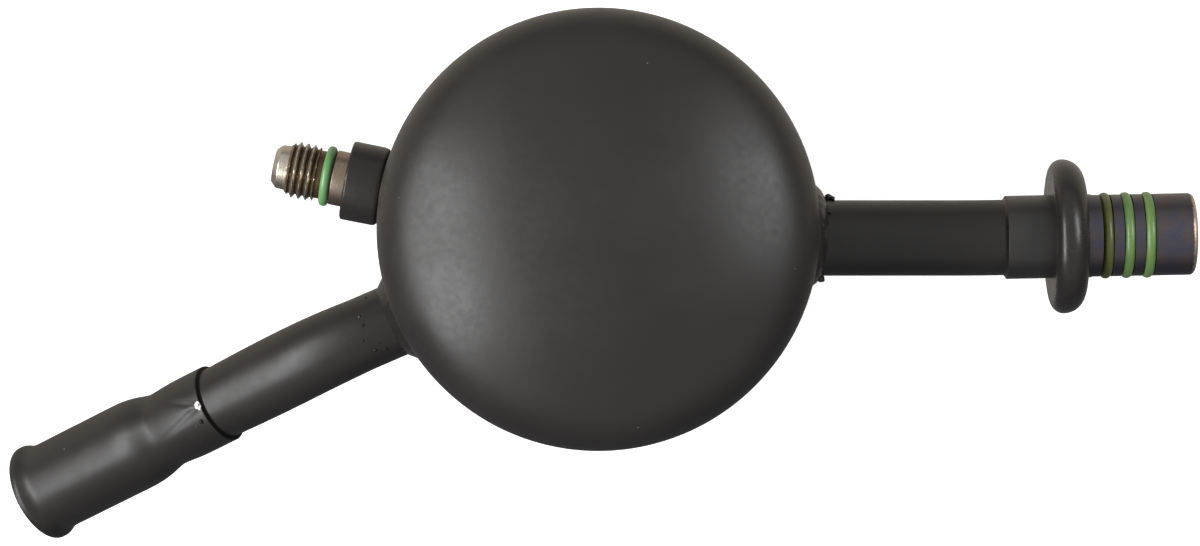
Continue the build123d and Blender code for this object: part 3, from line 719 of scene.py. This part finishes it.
class ACCUMULATOR_OT_upper_cup(bpy.types.Operator):
    """Makes the drawn upper cup of the can, with the holes for its tubes"""

    bl_idname = "accumulator.upper_cup"
    bl_label = "Upper cup"

    def execute(self, context):
        can, wall, foot = context.scene.accumulator_sizes.can_radius, 1.8, 35.0
        outer = dome_outline(can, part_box("upper_shell")[1][2] / MM)
        inner = [(r - wall * math.sin(s), z - wall * math.cos(s)) for r, z, s in outer]
        side_top = outer[-1][1]
        levels = [side_top + (foot - side_top) * step / 36 for step in range(1, 37)]
        outline = [(r, z) for r, z, _ in outer] + [(can, z) for z in levels]
        outline += [(can - wall, z) for z in reversed(levels)] + inner[::-1]
        made = bmesh.new()
        add_grid(made, turned_rows(outline, 240))
        cup = piece("drawn_upper_cup", made, Matrix.Scale(MM, 4), black_paint("cup_paint"), "upper_shell")
        cutters = []
        for port, radius in ((OUTLET, 7.99), (INLET, 7.99), (PORT, 4.55)):
            cutting = bmesh.new()
            add_grid(cutting, turned_rows([(0, 36), (radius, 36), (radius, 48), (0, 48)], 64))
            bmesh.ops.remove_doubles(cutting, verts=cutting.verts, dist=1e-4)
            bmesh.ops.recalc_face_normals(cutting, faces=cutting.faces)
            mesh = bpy.data.meshes.new("hole")
            cutting.to_mesh(mesh)
            cutting.free()
            mesh.transform(port)
            cutters.append(bpy.data.objects.new("hole", mesh))
            context.scene.collection.objects.link(cutters[-1])
            change = cup.modifiers.new("hole", "BOOLEAN")
            change.operation, change.object = "DIFFERENCE", cutters[-1]
        shaped = cup.evaluated_get(context.evaluated_depsgraph_get())
        mesh = bpy.data.meshes.new_from_object(shaped)
        if len(mesh.polygons) < len(cup.data.polygons) / 2:
            raise RuntimeError("the holes couldn't be cut in the upper cup")
        cup.modifiers.clear()
        cup.data = mesh
        mesh.shade_smooth()
        mesh.set_sharp_from_angle(angle=math.radians(38))
        for cutter in cutters:
            bpy.data.objects.remove(cutter)
        return {"FINISHED"}


class ACCUMULATOR_OT_welds(bpy.types.Operator):
    """Makes the rippled weld beads round the tubes, the boss and the can"""

    bl_idname = "accumulator.welds"
    bl_label = "Welds"

    def execute(self, context):
        can = context.scene.accumulator_sizes.can_radius
        paint = black_paint("weld_paint", 0.0, 0.24)
        tube = 7.94
        made = bmesh.new()
        rows = bead_rows(
            can,
            tube,
            lambda turn: 3.7 - 0.5 * math.sin(turn) - 0.35 * math.cos(turn),
            lambda turn: 3.6 - 0.6 * math.sin(turn),
            lambda turn: 0.75 - 0.25 * math.sin(turn),
            1.7,
        )
        add_grid(made, rows, wrap=True)
        for number, (turn, away, level, size) in enumerate(
            [
                (-88, 8.55, 48.35, 0.75),
                (-84, 8.35, 49.15, 0.55),
                (-95, 8.3, 47.9, 0.6),
                (84, 8.6, 46.7, 0.8),
                (-40, 8.1, 48.3, 0.3),
                (150, 8.1, 49.5, 0.35),
            ]
        ):
            way = Vector((math.cos(math.radians(turn)), math.sin(math.radians(turn)), 0))
            add_lump(made, way * away + UP * level, size, number)
        piece("outlet_weld_bead", made, OUTLET, paint, "outlet_weld")

        made = bmesh.new()
        rows = bead_rows(
            can,
            tube,
            lambda turn: 4.7 + 0.25 * math.sin(turn),
            lambda turn: 4.4,
            lambda turn: 0.25,
            4.2,
        )
        add_grid(made, rows, wrap=True)
        drips = [(-28, 54.2, 0.35), (-12, 54.3, 0.4), (10, 55.6, 0.3), (33, 54.0, 0.4)]
        drips += [(38, 51.9, 0.45), (-60, 51.6, 0.3), (150, 53.0, 0.4), (24, 52.6, 0.25)]
        for number, (turn, level, size) in enumerate(drips):
            way = Vector((math.cos(math.radians(-turn)), math.sin(math.radians(-turn)), 0))
            add_lump(made, way * (tube - size * 0.25) + UP * level, size, number + 20)
        piece("inlet_weld_bead", made, INLET, paint, "inlet_weld")

        made = bmesh.new()
        rows = bead_rows(can, 7.4, lambda turn: 1.1, lambda turn: 1.1, lambda turn: 0.05, 7.1, depth=0.03)
        add_grid(made, rows, wrap=True)
        # The port's weld bead gets the same near-black paint: painted shade in the undercut under the boss.
        piece("port_weld_bead", made, PORT, seam_painted_shade(), "port_weld")
        self.girth(can, paint)
        return {"FINISHED"}

    @staticmethod
    def girth(can, paint):
        """Seam bead round the can, laid in one pass with its overlap at the back."""
        middle, half, height, pitch, around = 34.5, 3.25, 1.0, 1.75, 960
        outline = [(can - 0.9, middle + half)]
        outline += [(can, middle + half * (1 - step / 5)) for step in range(11)]
        outline += [(can - 0.9, middle - half)]

        def ripple(turn, radius, level):
            share = (level - middle) / half
            bow = max(0.0, 1 - share * share)
            place = turn * can / pitch + 0.7 * share * share
            wander = 0.35 * noise.noise(Vector((math.cos(turn), math.sin(turn), 3.0)) * 3)
            wave = 0.09 * math.cos(math.tau * place) * bow**0.5
            lift = 0.05 + (height - 0.15) * bow**0.8 + wave if radius >= can else 0
            return radius + lift, level + wander

        made = bmesh.new()
        add_grid(made, turned_rows(outline, around, ripple), wrap=True)
        piece("girth_weld_bead", made, Matrix.Scale(MM, 4), paint, "girth_weld")


class ACCUMULATOR_OT_inlet(bpy.types.Operator):
    """Makes the bent inlet tube and the socket that is staked on its end"""

    bl_idname = "accumulator.inlet"
    bl_label = "Inlet tube and socket"

    def execute(self, context):
        self.tube()
        self.socket()
        return {"FINISHED"}

    @staticmethod
    def tube():
        """Thin tube, pressed slightly oval where it was bent."""
        radius, wall, bend_radius, foot, after = 7.94, 1.245, 38.0, 57.05, 29.9
        out = heading(203.3)
        end = SLEEVE.col[2].to_3d().normalized()
        bend = out.angle(end)
        inward = (end - out * math.cos(bend)).normalized()
        start = INLET.translation / MM
        run = bend_radius * bend
        stations = [38.65 + step * 0.8 for step in range(int((foot + run + after - 38.65) / 0.8) + 1)]
        stations.append(foot + run + after)
        outside, inside = [], []
        for station in stations:
            turned = min(max(station - foot, 0) / bend_radius, bend)
            way = out * math.cos(turned) + inward * math.sin(turned)
            drop = inward * math.cos(turned) - out * math.sin(turned)
            place = start + out * min(station, foot)
            place += out * bend_radius * math.sin(turned) + inward * bend_radius * (1 - math.cos(turned))
            place += way * max(station - foot - run, 0)
            side = way.cross(drop)
            press = max(0.0, 1 - ((station - foot - 18) / 19) ** 2) * 0.048
            for rows, reach in ((outside, radius), (inside, radius - wall)):
                row = []
                for number in range(96):
                    turn = math.tau * number / 96
                    row.append(
                        place
                        + side * math.cos(turn) * reach * (1 + press)
                        + drop * math.sin(turn) * reach * (1 - press * 0.8)
                    )
                rows.append(row)
        made = bmesh.new()
        add_grid(made, [*outside, *reversed(inside)], wrap=True)
        scale = Matrix.Scale(MM, 4)
        piece("bent_inlet_tube", made, scale, black_paint("tube_paint"), "inlet_tube")

    @staticmethod
    def socket():
        """Sleeve, waist, cup and flared rim, with the two staking creases in the sleeve."""
        outer = softened(
            [
                (8.0, 0, 0),
                (8.85, 0, 0.3),
                (8.85, 9.0, 3.4),
                (8.475, 13.5, 1.6),
                (8.475, 15.1, 1.6),
                (9.975, 20.7, 3.6),
                (9.975, 46.9, 1.2),
                (11.05, 49.1, 0.35),
                (11.05, 50.3, 0.35),
                (9.85, 50.3, 0.3),
                (8.775, 47.5, 1.6),
                (8.775, 20.9, 3.2),
                (7.6, 15.1, 1.6),
                (7.6, 13.4, 1.6),
                (8.0, 9.0, 2.0),
            ],
            6,
        )

        def creased(turn, radius, height):
            dent = 0.0
            for lean in (0.055, -0.03):
                middle = 0.17 + lean * height
                away = math.remainder(turn - middle, math.tau) * 8.85
                depth = min(1, height / 2) * max(0.0, 1 - height / 13)
                dent += 0.34 * depth * math.exp(-((away / 0.75) ** 2))
            ridge = math.remainder(turn - 0.17 - 0.012 * height, math.tau) * 8.85
            dent -= 0.12 * max(0.0, 1 - height / 10) * math.exp(-((ridge / 0.6) ** 2))
            wave = 0.03 * noise.noise(Vector((math.cos(turn), math.sin(turn), height / 12)) * 2)
            return radius - dent * (radius > 8.2 and height < 14) + wave, height

        made = bmesh.new()
        add_grid(made, turned_rows(divided(outer, 0.8), 192, creased), wrap=True)
        for number, (turn, level, size) in enumerate([(-12.8, 1.6, 0.5), (-16.6, 3.25, 0.35), (9.7, 0.6, 0.55)]):
            way = Vector((math.cos(math.radians(turn)), math.sin(math.radians(turn)), 0))
            add_lump(made, way * (8.72 + size * 0.15) + UP * level, size, number + 40)
        piece("staked_inlet_socket", made, SLEEVE, chip_with_painted_glint(), "inlet_socket")


class ACCUMULATOR_OT_spigot(bpy.types.Operator):
    """Finishes the outlet spigot and makes its sealing rings"""

    bl_idname = "accumulator.spigot"
    bl_label = "Outlet spigot and seals"

    def execute(self, context):
        colours = context.scene.accumulator_finish
        give(blued_steel(), "outlet_spigot")
        old = seal_rubber("stained_rubber", tuple(colours.old_rubber), 0.7, SPIGOT)
        fresh = seal_rubber("seal_rubber", tuple(colours.rubber), 0.45, SPIGOT)
        for number, finish in enumerate((old, fresh, fresh)):
            self.ring(f"outlet_seal_{number + 1}", SPIGOT, 8.17, 0.9, 20.9 + number * 4.4, finish, number)
        bright = seal_rubber("port_seal_rubber", tuple(colours.port_rubber), 0.15, PORT)
        self.ring("port_seal", PORT, 5.47, 0.85, 56.9, bright, 7)
        return {"FINISHED"}

    @staticmethod
    def ring(name, fitting, radius, section, level, finish, seed):
        """Rubber ring with its mould line, lying a little unevenly in its groove."""
        rows = []
        for number in range(144):
            turn = math.tau * number / 144
            way = Vector((math.cos(turn), math.sin(turn), 0))
            shift = 0.05 * math.sin(turn + seed) + 0.03 * math.sin(3 * turn + 2 * seed)
            row = []
            for step in range(24):
                lean = math.tau * step / 24
                line = 0.03 * math.exp(-((math.remainder(lean - 0.7, math.tau) / 0.14) ** 2))
                reach = section - 0.02 + line
                away = radius + reach * math.cos(lean)
                row.append(way * away + UP * (level + shift + 1.18 * reach * math.sin(lean)))
            rows.append(row)
        made = bmesh.new()
        add_grid(made, rows, wrap=True)
        node = {"port_seal": "port_o_ring"}.get(name, name.replace("seal", "o_ring"))
        piece(name, made, fitting, finish, node, sharp=80)


class ACCUMULATOR_OT_garter(bpy.types.Operator):
    """Makes the garter spring inside the coupling cage"""

    bl_idname = "accumulator.garter"
    bl_label = "Garter spring"

    def execute(self, context):
        turns = context.scene.accumulator_sizes.garter_turns
        radius, coil, wire, level = 10.8, 1.66, 0.27, 13.35
        count = turns * 14
        points = []
        for number in range(count):
            turn = math.tau * number / count
            wind = turn * turns
            reach = radius + coil * math.cos(wind)
            points.append(
                Vector((reach * math.cos(turn), reach * math.sin(turn), level + coil * math.sin(wind)))
            )
        made = bmesh.new()
        add_grid(made, pipe_rows(points, wire, 7, True), wrap=True)
        steel = turned_metal("spring_steel", (0.34, 0.32, 0.3), SPIGOT, 0.3)
        piece("garter_coil", made, SPIGOT, steel, "garter_spring", sharp=80)
        return {"FINISHED"}


class ACCUMULATOR_OT_port(bpy.types.Operator):
    """Makes the switch port with its boss, seal groove and cut thread"""

    bl_idname = "accumulator.port"
    bl_label = "Switch port"

    def execute(self, context):
        sizes = context.scene.accumulator_sizes
        crest, pitch = sizes.thread_radius, sizes.thread_pitch
        start, end = 59.05, 65.25
        low_end, high_end = 5.0, 4.65
        around, steps = 120, 14
        made = bmesh.new()
        foot = softened(
            [
                (4.5, 41.8, 0),
                (7.2, 43.4, 0),
                (7.3, 45.0, 0.3),
                (8.2, 45.6, 0.9),
                (8.2, 52.95, 0.6),
                (5.7, 52.95, 0),
                (5.7, 55.75, 0.15),
                (4.6, 55.75, 0.1),
                (4.6, 58.05, 0.1),
                (5.0, 58.05, 0),
                (low_end, start, 0),
            ]
        )
        add_grid(made, turned_rows(foot, around, self.worn))
        nose = softened(
            [
                (high_end, end, 0),
                (4.5, 67.1, 0.15),
                (3.45, 68.2, 0.12),
                (2.95, 68.2, 0.1),
                (2.45, 67.7, 0),
                (2.45, 61.9, 0),
                (2.2, 60.3, 0),
                (2.2, 50.65, 0),
                (1.5, 50.65, 0),
                (1.5, 41.8, 0),
                (4.5, 41.8, 0),
            ]
        )
        add_grid(made, turned_rows(nose, around))
        length = end - start
        rows = []
        for number in range(int(steps * (length / pitch + 1)) + 2):
            row = []
            for step in range(around):
                turn = math.tau * step / around
                climbed = pitch * (number / steps - 1 + step / around)
                level = min(max(climbed, 0.0), length)
                if level in (0.0, length):
                    reach = low_end if level == 0.0 else high_end
                else:
                    phase = abs(2 * (climbed / pitch % 1) - 1)
                    depth = 0.92 * (1 - min(max((phase - 0.06) / 0.86, 0.0), 1.0))
                    runout = min(low_end + level / 0.25, high_end + (length - level) / 0.7)
                    reach = min(crest - depth, max(runout, crest - 0.92))
                row.append((reach * math.cos(turn), reach * math.sin(turn), start + level))
            rows.append(row)
        add_grid(made, rows, turn=steps)
        piece("threaded_switch_port", made, PORT, port_steel(), "switch_port", sharp=30)
        return {"FINISHED"}

    @staticmethod
    def worn(turn, radius, height):
        dent = 0.04 * noise.noise(Vector((math.cos(turn), math.sin(turn), height / 5)) * 2.5)
        return (radius + dent if 44 < height < 52.9 and radius > 8 else radius), height


class ACCUMULATOR_OT_valve_core(bpy.types.Operator):
    """Finishes the valve core and makes its spring and soft seals"""

    bl_idname = "accumulator.valve_core"
    bl_label = "Valve core"

    def execute(self, context):
        brass = turned_metal("brass", (0.72, 0.5, 0.22), PORT)
        give(brass, "valve_core_plug", "valve_core_barrel")
        give(turned_metal("pin_steel", (0.55, 0.54, 0.52), PORT, 0.2), "valve_pin")
        start, length, radius, wire, turns = 53.9, 5.6, 1.075, 0.165, 6
        points = []
        count = turns * 20
        for number in range(count + 1):
            turn = math.tau * turns * number / count
            level = start + wire + (length - 2 * wire) * number / count
            points.append(Vector((radius * math.cos(turn), radius * math.sin(turn), level)))
        made = bmesh.new()
        rows = pipe_rows(points, wire, 10)
        add_grid(made, rows)
        for row in (rows[0], rows[-1]):
            add_grid(made, [row, [sum(row, Vector()) / len(row)] * len(row)])
        spring = piece(
            "valve_coil",
            made,
            PORT,
            turned_metal("spring_wire", (0.5, 0.48, 0.45), PORT),
            "valve_spring",
            sharp=80,
        )
        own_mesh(spring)
        white = moulded_plastic("gasket_plastic", (0.75, 0.74, 0.7))
        gasket = softened([(1.91, 60.33, 0.05), (2.16, 60.33, 0.12), (2.4, 61.87, 0.12), (1.91, 61.87, 0.05)])
        self.washer("valve_gasket", gasket, white, "valve_core_gasket", "vessel")
        rubber = seal_rubber("pin_rubber", (0.02, 0.02, 0.022), 0.1, PORT)
        seal = softened([(0.66, 52.41, 0.05), (1.54, 52.41, 0.15), (1.54, 53.09, 0.15), (0.66, 53.09, 0.05)])
        self.washer("pin_seal", seal, rubber, "valve_pin_seal", "valve_stem")
        return {"FINISHED"}

    @staticmethod
    def washer(name, outline, finish, node, body):
        made = bmesh.new()
        add_grid(made, turned_rows(outline, 48), wrap=True)
        piece(name, made, PORT, finish, node, body, 80)


class ACCUMULATOR_OT_pickup(bpy.types.Operator):
    """Finishes the moulded hood and oil filter inside the can"""

    bl_idname = "accumulator.pickup"
    bl_label = "Hood and oil filter"

    def execute(self, context):
        give(moulded_plastic("hood_nylon", (0.62, 0.6, 0.52)), "vapour_hood")
        give(moulded_plastic("filter_nylon", (0.05, 0.05, 0.055)), "oil_filter_housing")
        give(moulded_plastic("filter_screen", (0.5, 0.49, 0.45), 0.6), "oil_filter_screen")
        return {"FINISHED"}


class ACCUMULATOR_OT_drying_bags(bpy.types.Operator):
    """Makes the felt drying bags and the webbing straps that tie them to the tube"""

    bl_idname = "accumulator.drying_bags"
    bl_label = "Drying bags and straps"

    def execute(self, context):
        felt = cloth("bag_felt", (0.62, 0.58, 0.5), 1.1)
        middles = []
        for number, side in ((1, 1), (2, -1)):
            low, high = (Vector(corner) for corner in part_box(f"desiccant_bag_{number}"))
            middles.append((low + high) / 2)
            self.bag(number, side, middles[-1], felt)
        webbing = cloth("strap_webbing", (0.7, 0.68, 0.6), 0.8, 0.1)
        centre = (middles[0] + middles[1]) / 2
        for number in (1, 2):
            low, high = (Vector(corner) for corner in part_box(f"bag_strap_{number}"))
            self.strap(number, Vector((centre.x, centre.y, (low.z + high.z) / 2)), webbing)
        return {"FINISHED"}

    @staticmethod
    def across(middle):
        """Place at a bag or strap: X along the flat of the bags, Z up."""
        turn = Matrix.Rotation(math.radians(165), 4, "Z")
        return Matrix.Translation(middle) @ turn @ Matrix.Scale(MM, 4)

    def bag(self, number, side, middle, felt):
        """Filled bag, sewn all round, its sides drawn in and its beads settled to the foot."""
        wide, tall, thick, steps = 27.6, 29.6, 7.1, 44
        sheets = []
        for face in (1, -1):
            rows = []
            for down in range(steps + 1):
                v = 2 * down / steps - 1
                row = []
                for over in range(steps + 1):
                    u = 2 * over / steps - 1
                    edge = (1 - abs(u) ** 5) * (1 - abs(v) ** 5)
                    settled = 1 - 0.14 * (v + 1) / 2
                    puff = thick * max(edge, 0.0) ** 0.38 * settled
                    pucker = noise.noise(Vector((u * 9, v * 9, number + face))) * 0.5 * (1 - edge)
                    puff = max(puff + pucker * thick * 0.25, 0.35)
                    pull_u = 1 - 0.035 * (1 - v * v)
                    pull_v = 1 - 0.03 * (1 - u * u)
                    if face == -side:
                        puff = min(puff, thick * 0.93)
                    row.append(Vector((u * wide * pull_u, face * min(puff, thick), v * tall * pull_v)))
                rows.append(row)
            sheets.append(rows)
        made = bmesh.new()
        for rows in sheets:
            add_grid(made, rows, closed=False)
        borders = []
        for rows in sheets:
            around = rows[0][:-1] + [row[-1] for row in rows[:-1]]
            borders.append(around + rows[-1][:0:-1] + [row[0] for row in rows[:0:-1]])
        add_grid(made, borders)
        done = piece(f"drying_bag_{number}", made, self.across(middle), felt, f"desiccant_bag_{number}", sharp=60)

    def strap(self, number, middle, webbing):
        """Webbing drawn tight round both bags and the tube between them."""
        half_wide, half_deep, corner, leg = 28.0, 23.24, 6.0, 7.94
        leg_away = leg_distance()
        circles = [(x * (half_wide - corner), y * (half_deep - corner), corner) for x in (1, -1) for y in (1, -1)]
        circles.append((leg_away, 0.0, leg))
        rows = []
        for step in range(240):
            turn = math.tau * step / 240
            way = Vector((math.cos(turn), math.sin(turn)))
            x, y, radius = max(circles, key=lambda c: c[0] * way.x + c[1] * way.y + c[2])
            row = []
            for play, level in ((0.34, 3.9), (0.34, -3.9), (0.5, -4.0), (0.78, -4.0), (0.9, -3.8), (0.9, 3.8), (0.78, 4.0), (0.5, 4.0)):
                sag = 0.25 * noise.noise(Vector((way.x * 2, way.y * 2, number)))
                row.append((x + (radius + play) * way.x, y + (radius + play) * way.y, level + sag))
            rows.append(row)
        made = bmesh.new()
        add_grid(made, rows, wrap=True)
        piece(f"webbing_strap_{number}", made, self.across(middle), webbing, f"bag_strap_{number}", sharp=50)


def leg_distance():
    """How far the pickup's open leg stands from the bags' middle, along the bags, in millimetres."""
    low, high = (Vector(corner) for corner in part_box("vapour_hood"))
    return ((low + high) / 2).to_2d().dot(heading(165).to_2d()) / MM


def soft_box(name, place, aim, width, height, power, colour=(1, 1, 1)):
    """Rectangular lamp that faces a point."""
    lamp = bpy.data.lights.new(name, "AREA")
    lamp.shape = "RECTANGLE"
    lamp.size = width
    lamp.size_y = height
    lamp.energy = power
    lamp.color = colour
    made = bpy.data.objects.new(name, lamp)
    made.location = place
    made.rotation_mode = "QUATERNION"
    made.rotation_quaternion = (Vector(aim) - Vector(place)).to_track_quat("-Z", "Y")
    bpy.context.scene.collection.objects.link(made)
    return made


def lit_for_camera(tree, seen, other):
    """White for what the camera and reflections see, and another value for the light it gives."""
    path = make(tree, "LightPath").outputs
    mirrored = combined(tree, path["Is Glossy Ray"], path["Is Transmission Ray"], "MAXIMUM")
    direct = combined(tree, path["Is Camera Ray"], mirrored, "MAXIMUM")
    return make(tree, "Mix", {"data_type": "FLOAT"}, in_0=direct, in_2=other, in_3=seen).outputs[0]


class ACCUMULATOR_OT_stage(bpy.types.Operator):
    """Sets up the floor, the lamps, the surroundings and the camera"""

    bl_idname = "accumulator.stage"
    bl_label = "Stage"

    def execute(self, context):
        stage = context.scene.accumulator_stage
        self.floor(CAD_BOX[0][2])
        self.boards(CAD_BOX[0][2] / MM)
        self.surroundings(context.scene)
        aim = (0, 0, 0.12)
        soft_box("left_box", (-0.68, -0.1, 0.7), aim, 0.9, 0.34, stage.left_power)
        soft_box("right_box", (0.68, 0.18, 0.67), aim, 0.5, 0.22, stage.right_power)
        camera = bpy.data.cameras.new("camera")
        camera.sensor_width = 36
        camera.lens = stage.lens
        camera.clip_start = 0.05
        camera.clip_end = 20
        made = bpy.data.objects.new("camera", camera)
        made.location = (0.355 * MM, -8.75 * MM, stage.camera_height)
        context.scene.collection.objects.link(made)
        context.scene.camera = made
        context.scene.view_settings.view_transform = "Standard"
        return {"FINISHED"}

    @staticmethod
    def floor(height):
        mesh = bpy.data.meshes.new("floor")
        reach = 5.0
        corners = [(-reach, -reach, height), (reach, -reach, height), (reach, reach, height)]
        mesh.from_pydata([*corners, (-reach, reach, height)], [], [(0, 1, 2, 3)])
        made = bpy.data.objects.new("floor", mesh)
        bpy.context.scene.collection.objects.link(made)
        material, tree, shader, place = new_finish("pale_floor", (0.8, 0.8, 0.8), 0.7)
        cloud = grain(tree, place, 60, 3)
        feed(
            tree,
            shader,
            Base_Color=tint(tree, cloud, (0.79, 0.79, 0.79), (0.81, 0.81, 0.81)),
            Normal=relief(tree, grain(tree, place, 1.5), 0.03, 0.3),
            Emission_Strength=lit_for_camera(tree, 0.62, 0.0),
        )
        shader.inputs["Emission Color"].default_value = (1, 1, 1, 1)
        mesh.materials.append(material)

    @staticmethod
    def boards(height):
        """Boards round the set that glow with their own colour, seen only in the gloss of the object: painted
        reflections, dark in front of it, pale beige behind it and grey where they stand up.
        """
        outline = [(50, height + 1), (200, height + 1), (900, height + 1), (950, 60), (950, 420)]
        made = bmesh.new()
        add_grid(made, turned_rows(outline, 48))
        mesh = bpy.data.meshes.new("boards")
        made.to_mesh(mesh)
        made.free()
        mesh.transform(Matrix.Scale(MM, 4))
        done = bpy.data.objects.new("boards", mesh)
        bpy.context.scene.collection.objects.link(done)
        done.visible_camera = done.visible_diffuse = done.visible_shadow = False
        material, tree, shader, place = new_finish("glowing_reflection_boards", (0, 0, 0), 1.0)
        shader.inputs["Emission Strength"].default_value = 1.0
        parts = make(tree, "SeparateXYZ", Vector=place).outputs
        # Painted reflection: the glow goes from dark grey in front of the object to pale beige behind it, and
        # grey on the upright rim.
        lying = tint(tree, spread(tree, parts["Y"], -0.12, 0.16), (0.1, 0.1, 0.11), (0.8, 0.71, 0.6))
        upright = spread(tree, parts["Z"], 0.0, 0.06)
        feed(tree, shader, Emission_Color=tint(tree, upright, lying, (0.3, 0.29, 0.29)))
        mesh.materials.append(material)

    @staticmethod
    def surroundings(scene):
        world = bpy.data.worlds.new("studio")
        scene.world = world
        world.use_nodes = True
        tree = world.node_tree
        tree.nodes.clear()
        made = make(tree, "Background", Strength=lit_for_camera(tree, 1.0, 0.35))
        out = make(tree, "OutputWorld")
        tree.links.new(made.outputs[0], out.inputs["Surface"])


OPERATORS = (
    ACCUMULATOR_OT_paintwork,
    ACCUMULATOR_OT_upper_cup,
    ACCUMULATOR_OT_welds,
    ACCUMULATOR_OT_inlet,
    ACCUMULATOR_OT_spigot,
    ACCUMULATOR_OT_garter,
    ACCUMULATOR_OT_port,
    ACCUMULATOR_OT_valve_core,
    ACCUMULATOR_OT_pickup,
    ACCUMULATOR_OT_drying_bags,
    ACCUMULATOR_OT_stage,
)


class ACCUMULATOR_PT_panel(bpy.types.Panel):
    bl_idname = "ACCUMULATOR_PT_panel"
    bl_label = "Suction accumulator"
    bl_space_type = "VIEW_3D"
    bl_region_type = "UI"
    bl_category = "Accumulator"

    def draw(self, context):
        for group, kind in GROUPS.items():
            box = self.layout.box()
            for name in kind.__annotations__:
                box.prop(getattr(context.scene, group), name)
        for operator in OPERATORS:
            self.layout.operator(operator.bl_idname)


def register():
    for kind in (*GROUPS.values(), *OPERATORS, ACCUMULATOR_PT_panel):
        bpy.utils.register_class(kind)
    for group, kind in GROUPS.items():
        setattr(bpy.types.Scene, group, PointerProperty(type=kind))


def unregister():
    for group in GROUPS:
        delattr(bpy.types.Scene, group)
    for kind in (ACCUMULATOR_PT_panel, *reversed(OPERATORS), *reversed(GROUPS.values())):
        bpy.utils.unregister_class(kind)


def main():
    register()
    for operator in OPERATORS:
        group, name = operator.bl_idname.split(".")
        getattr(getattr(bpy.ops, group), name)()


if __name__ == "__main__":
    main()
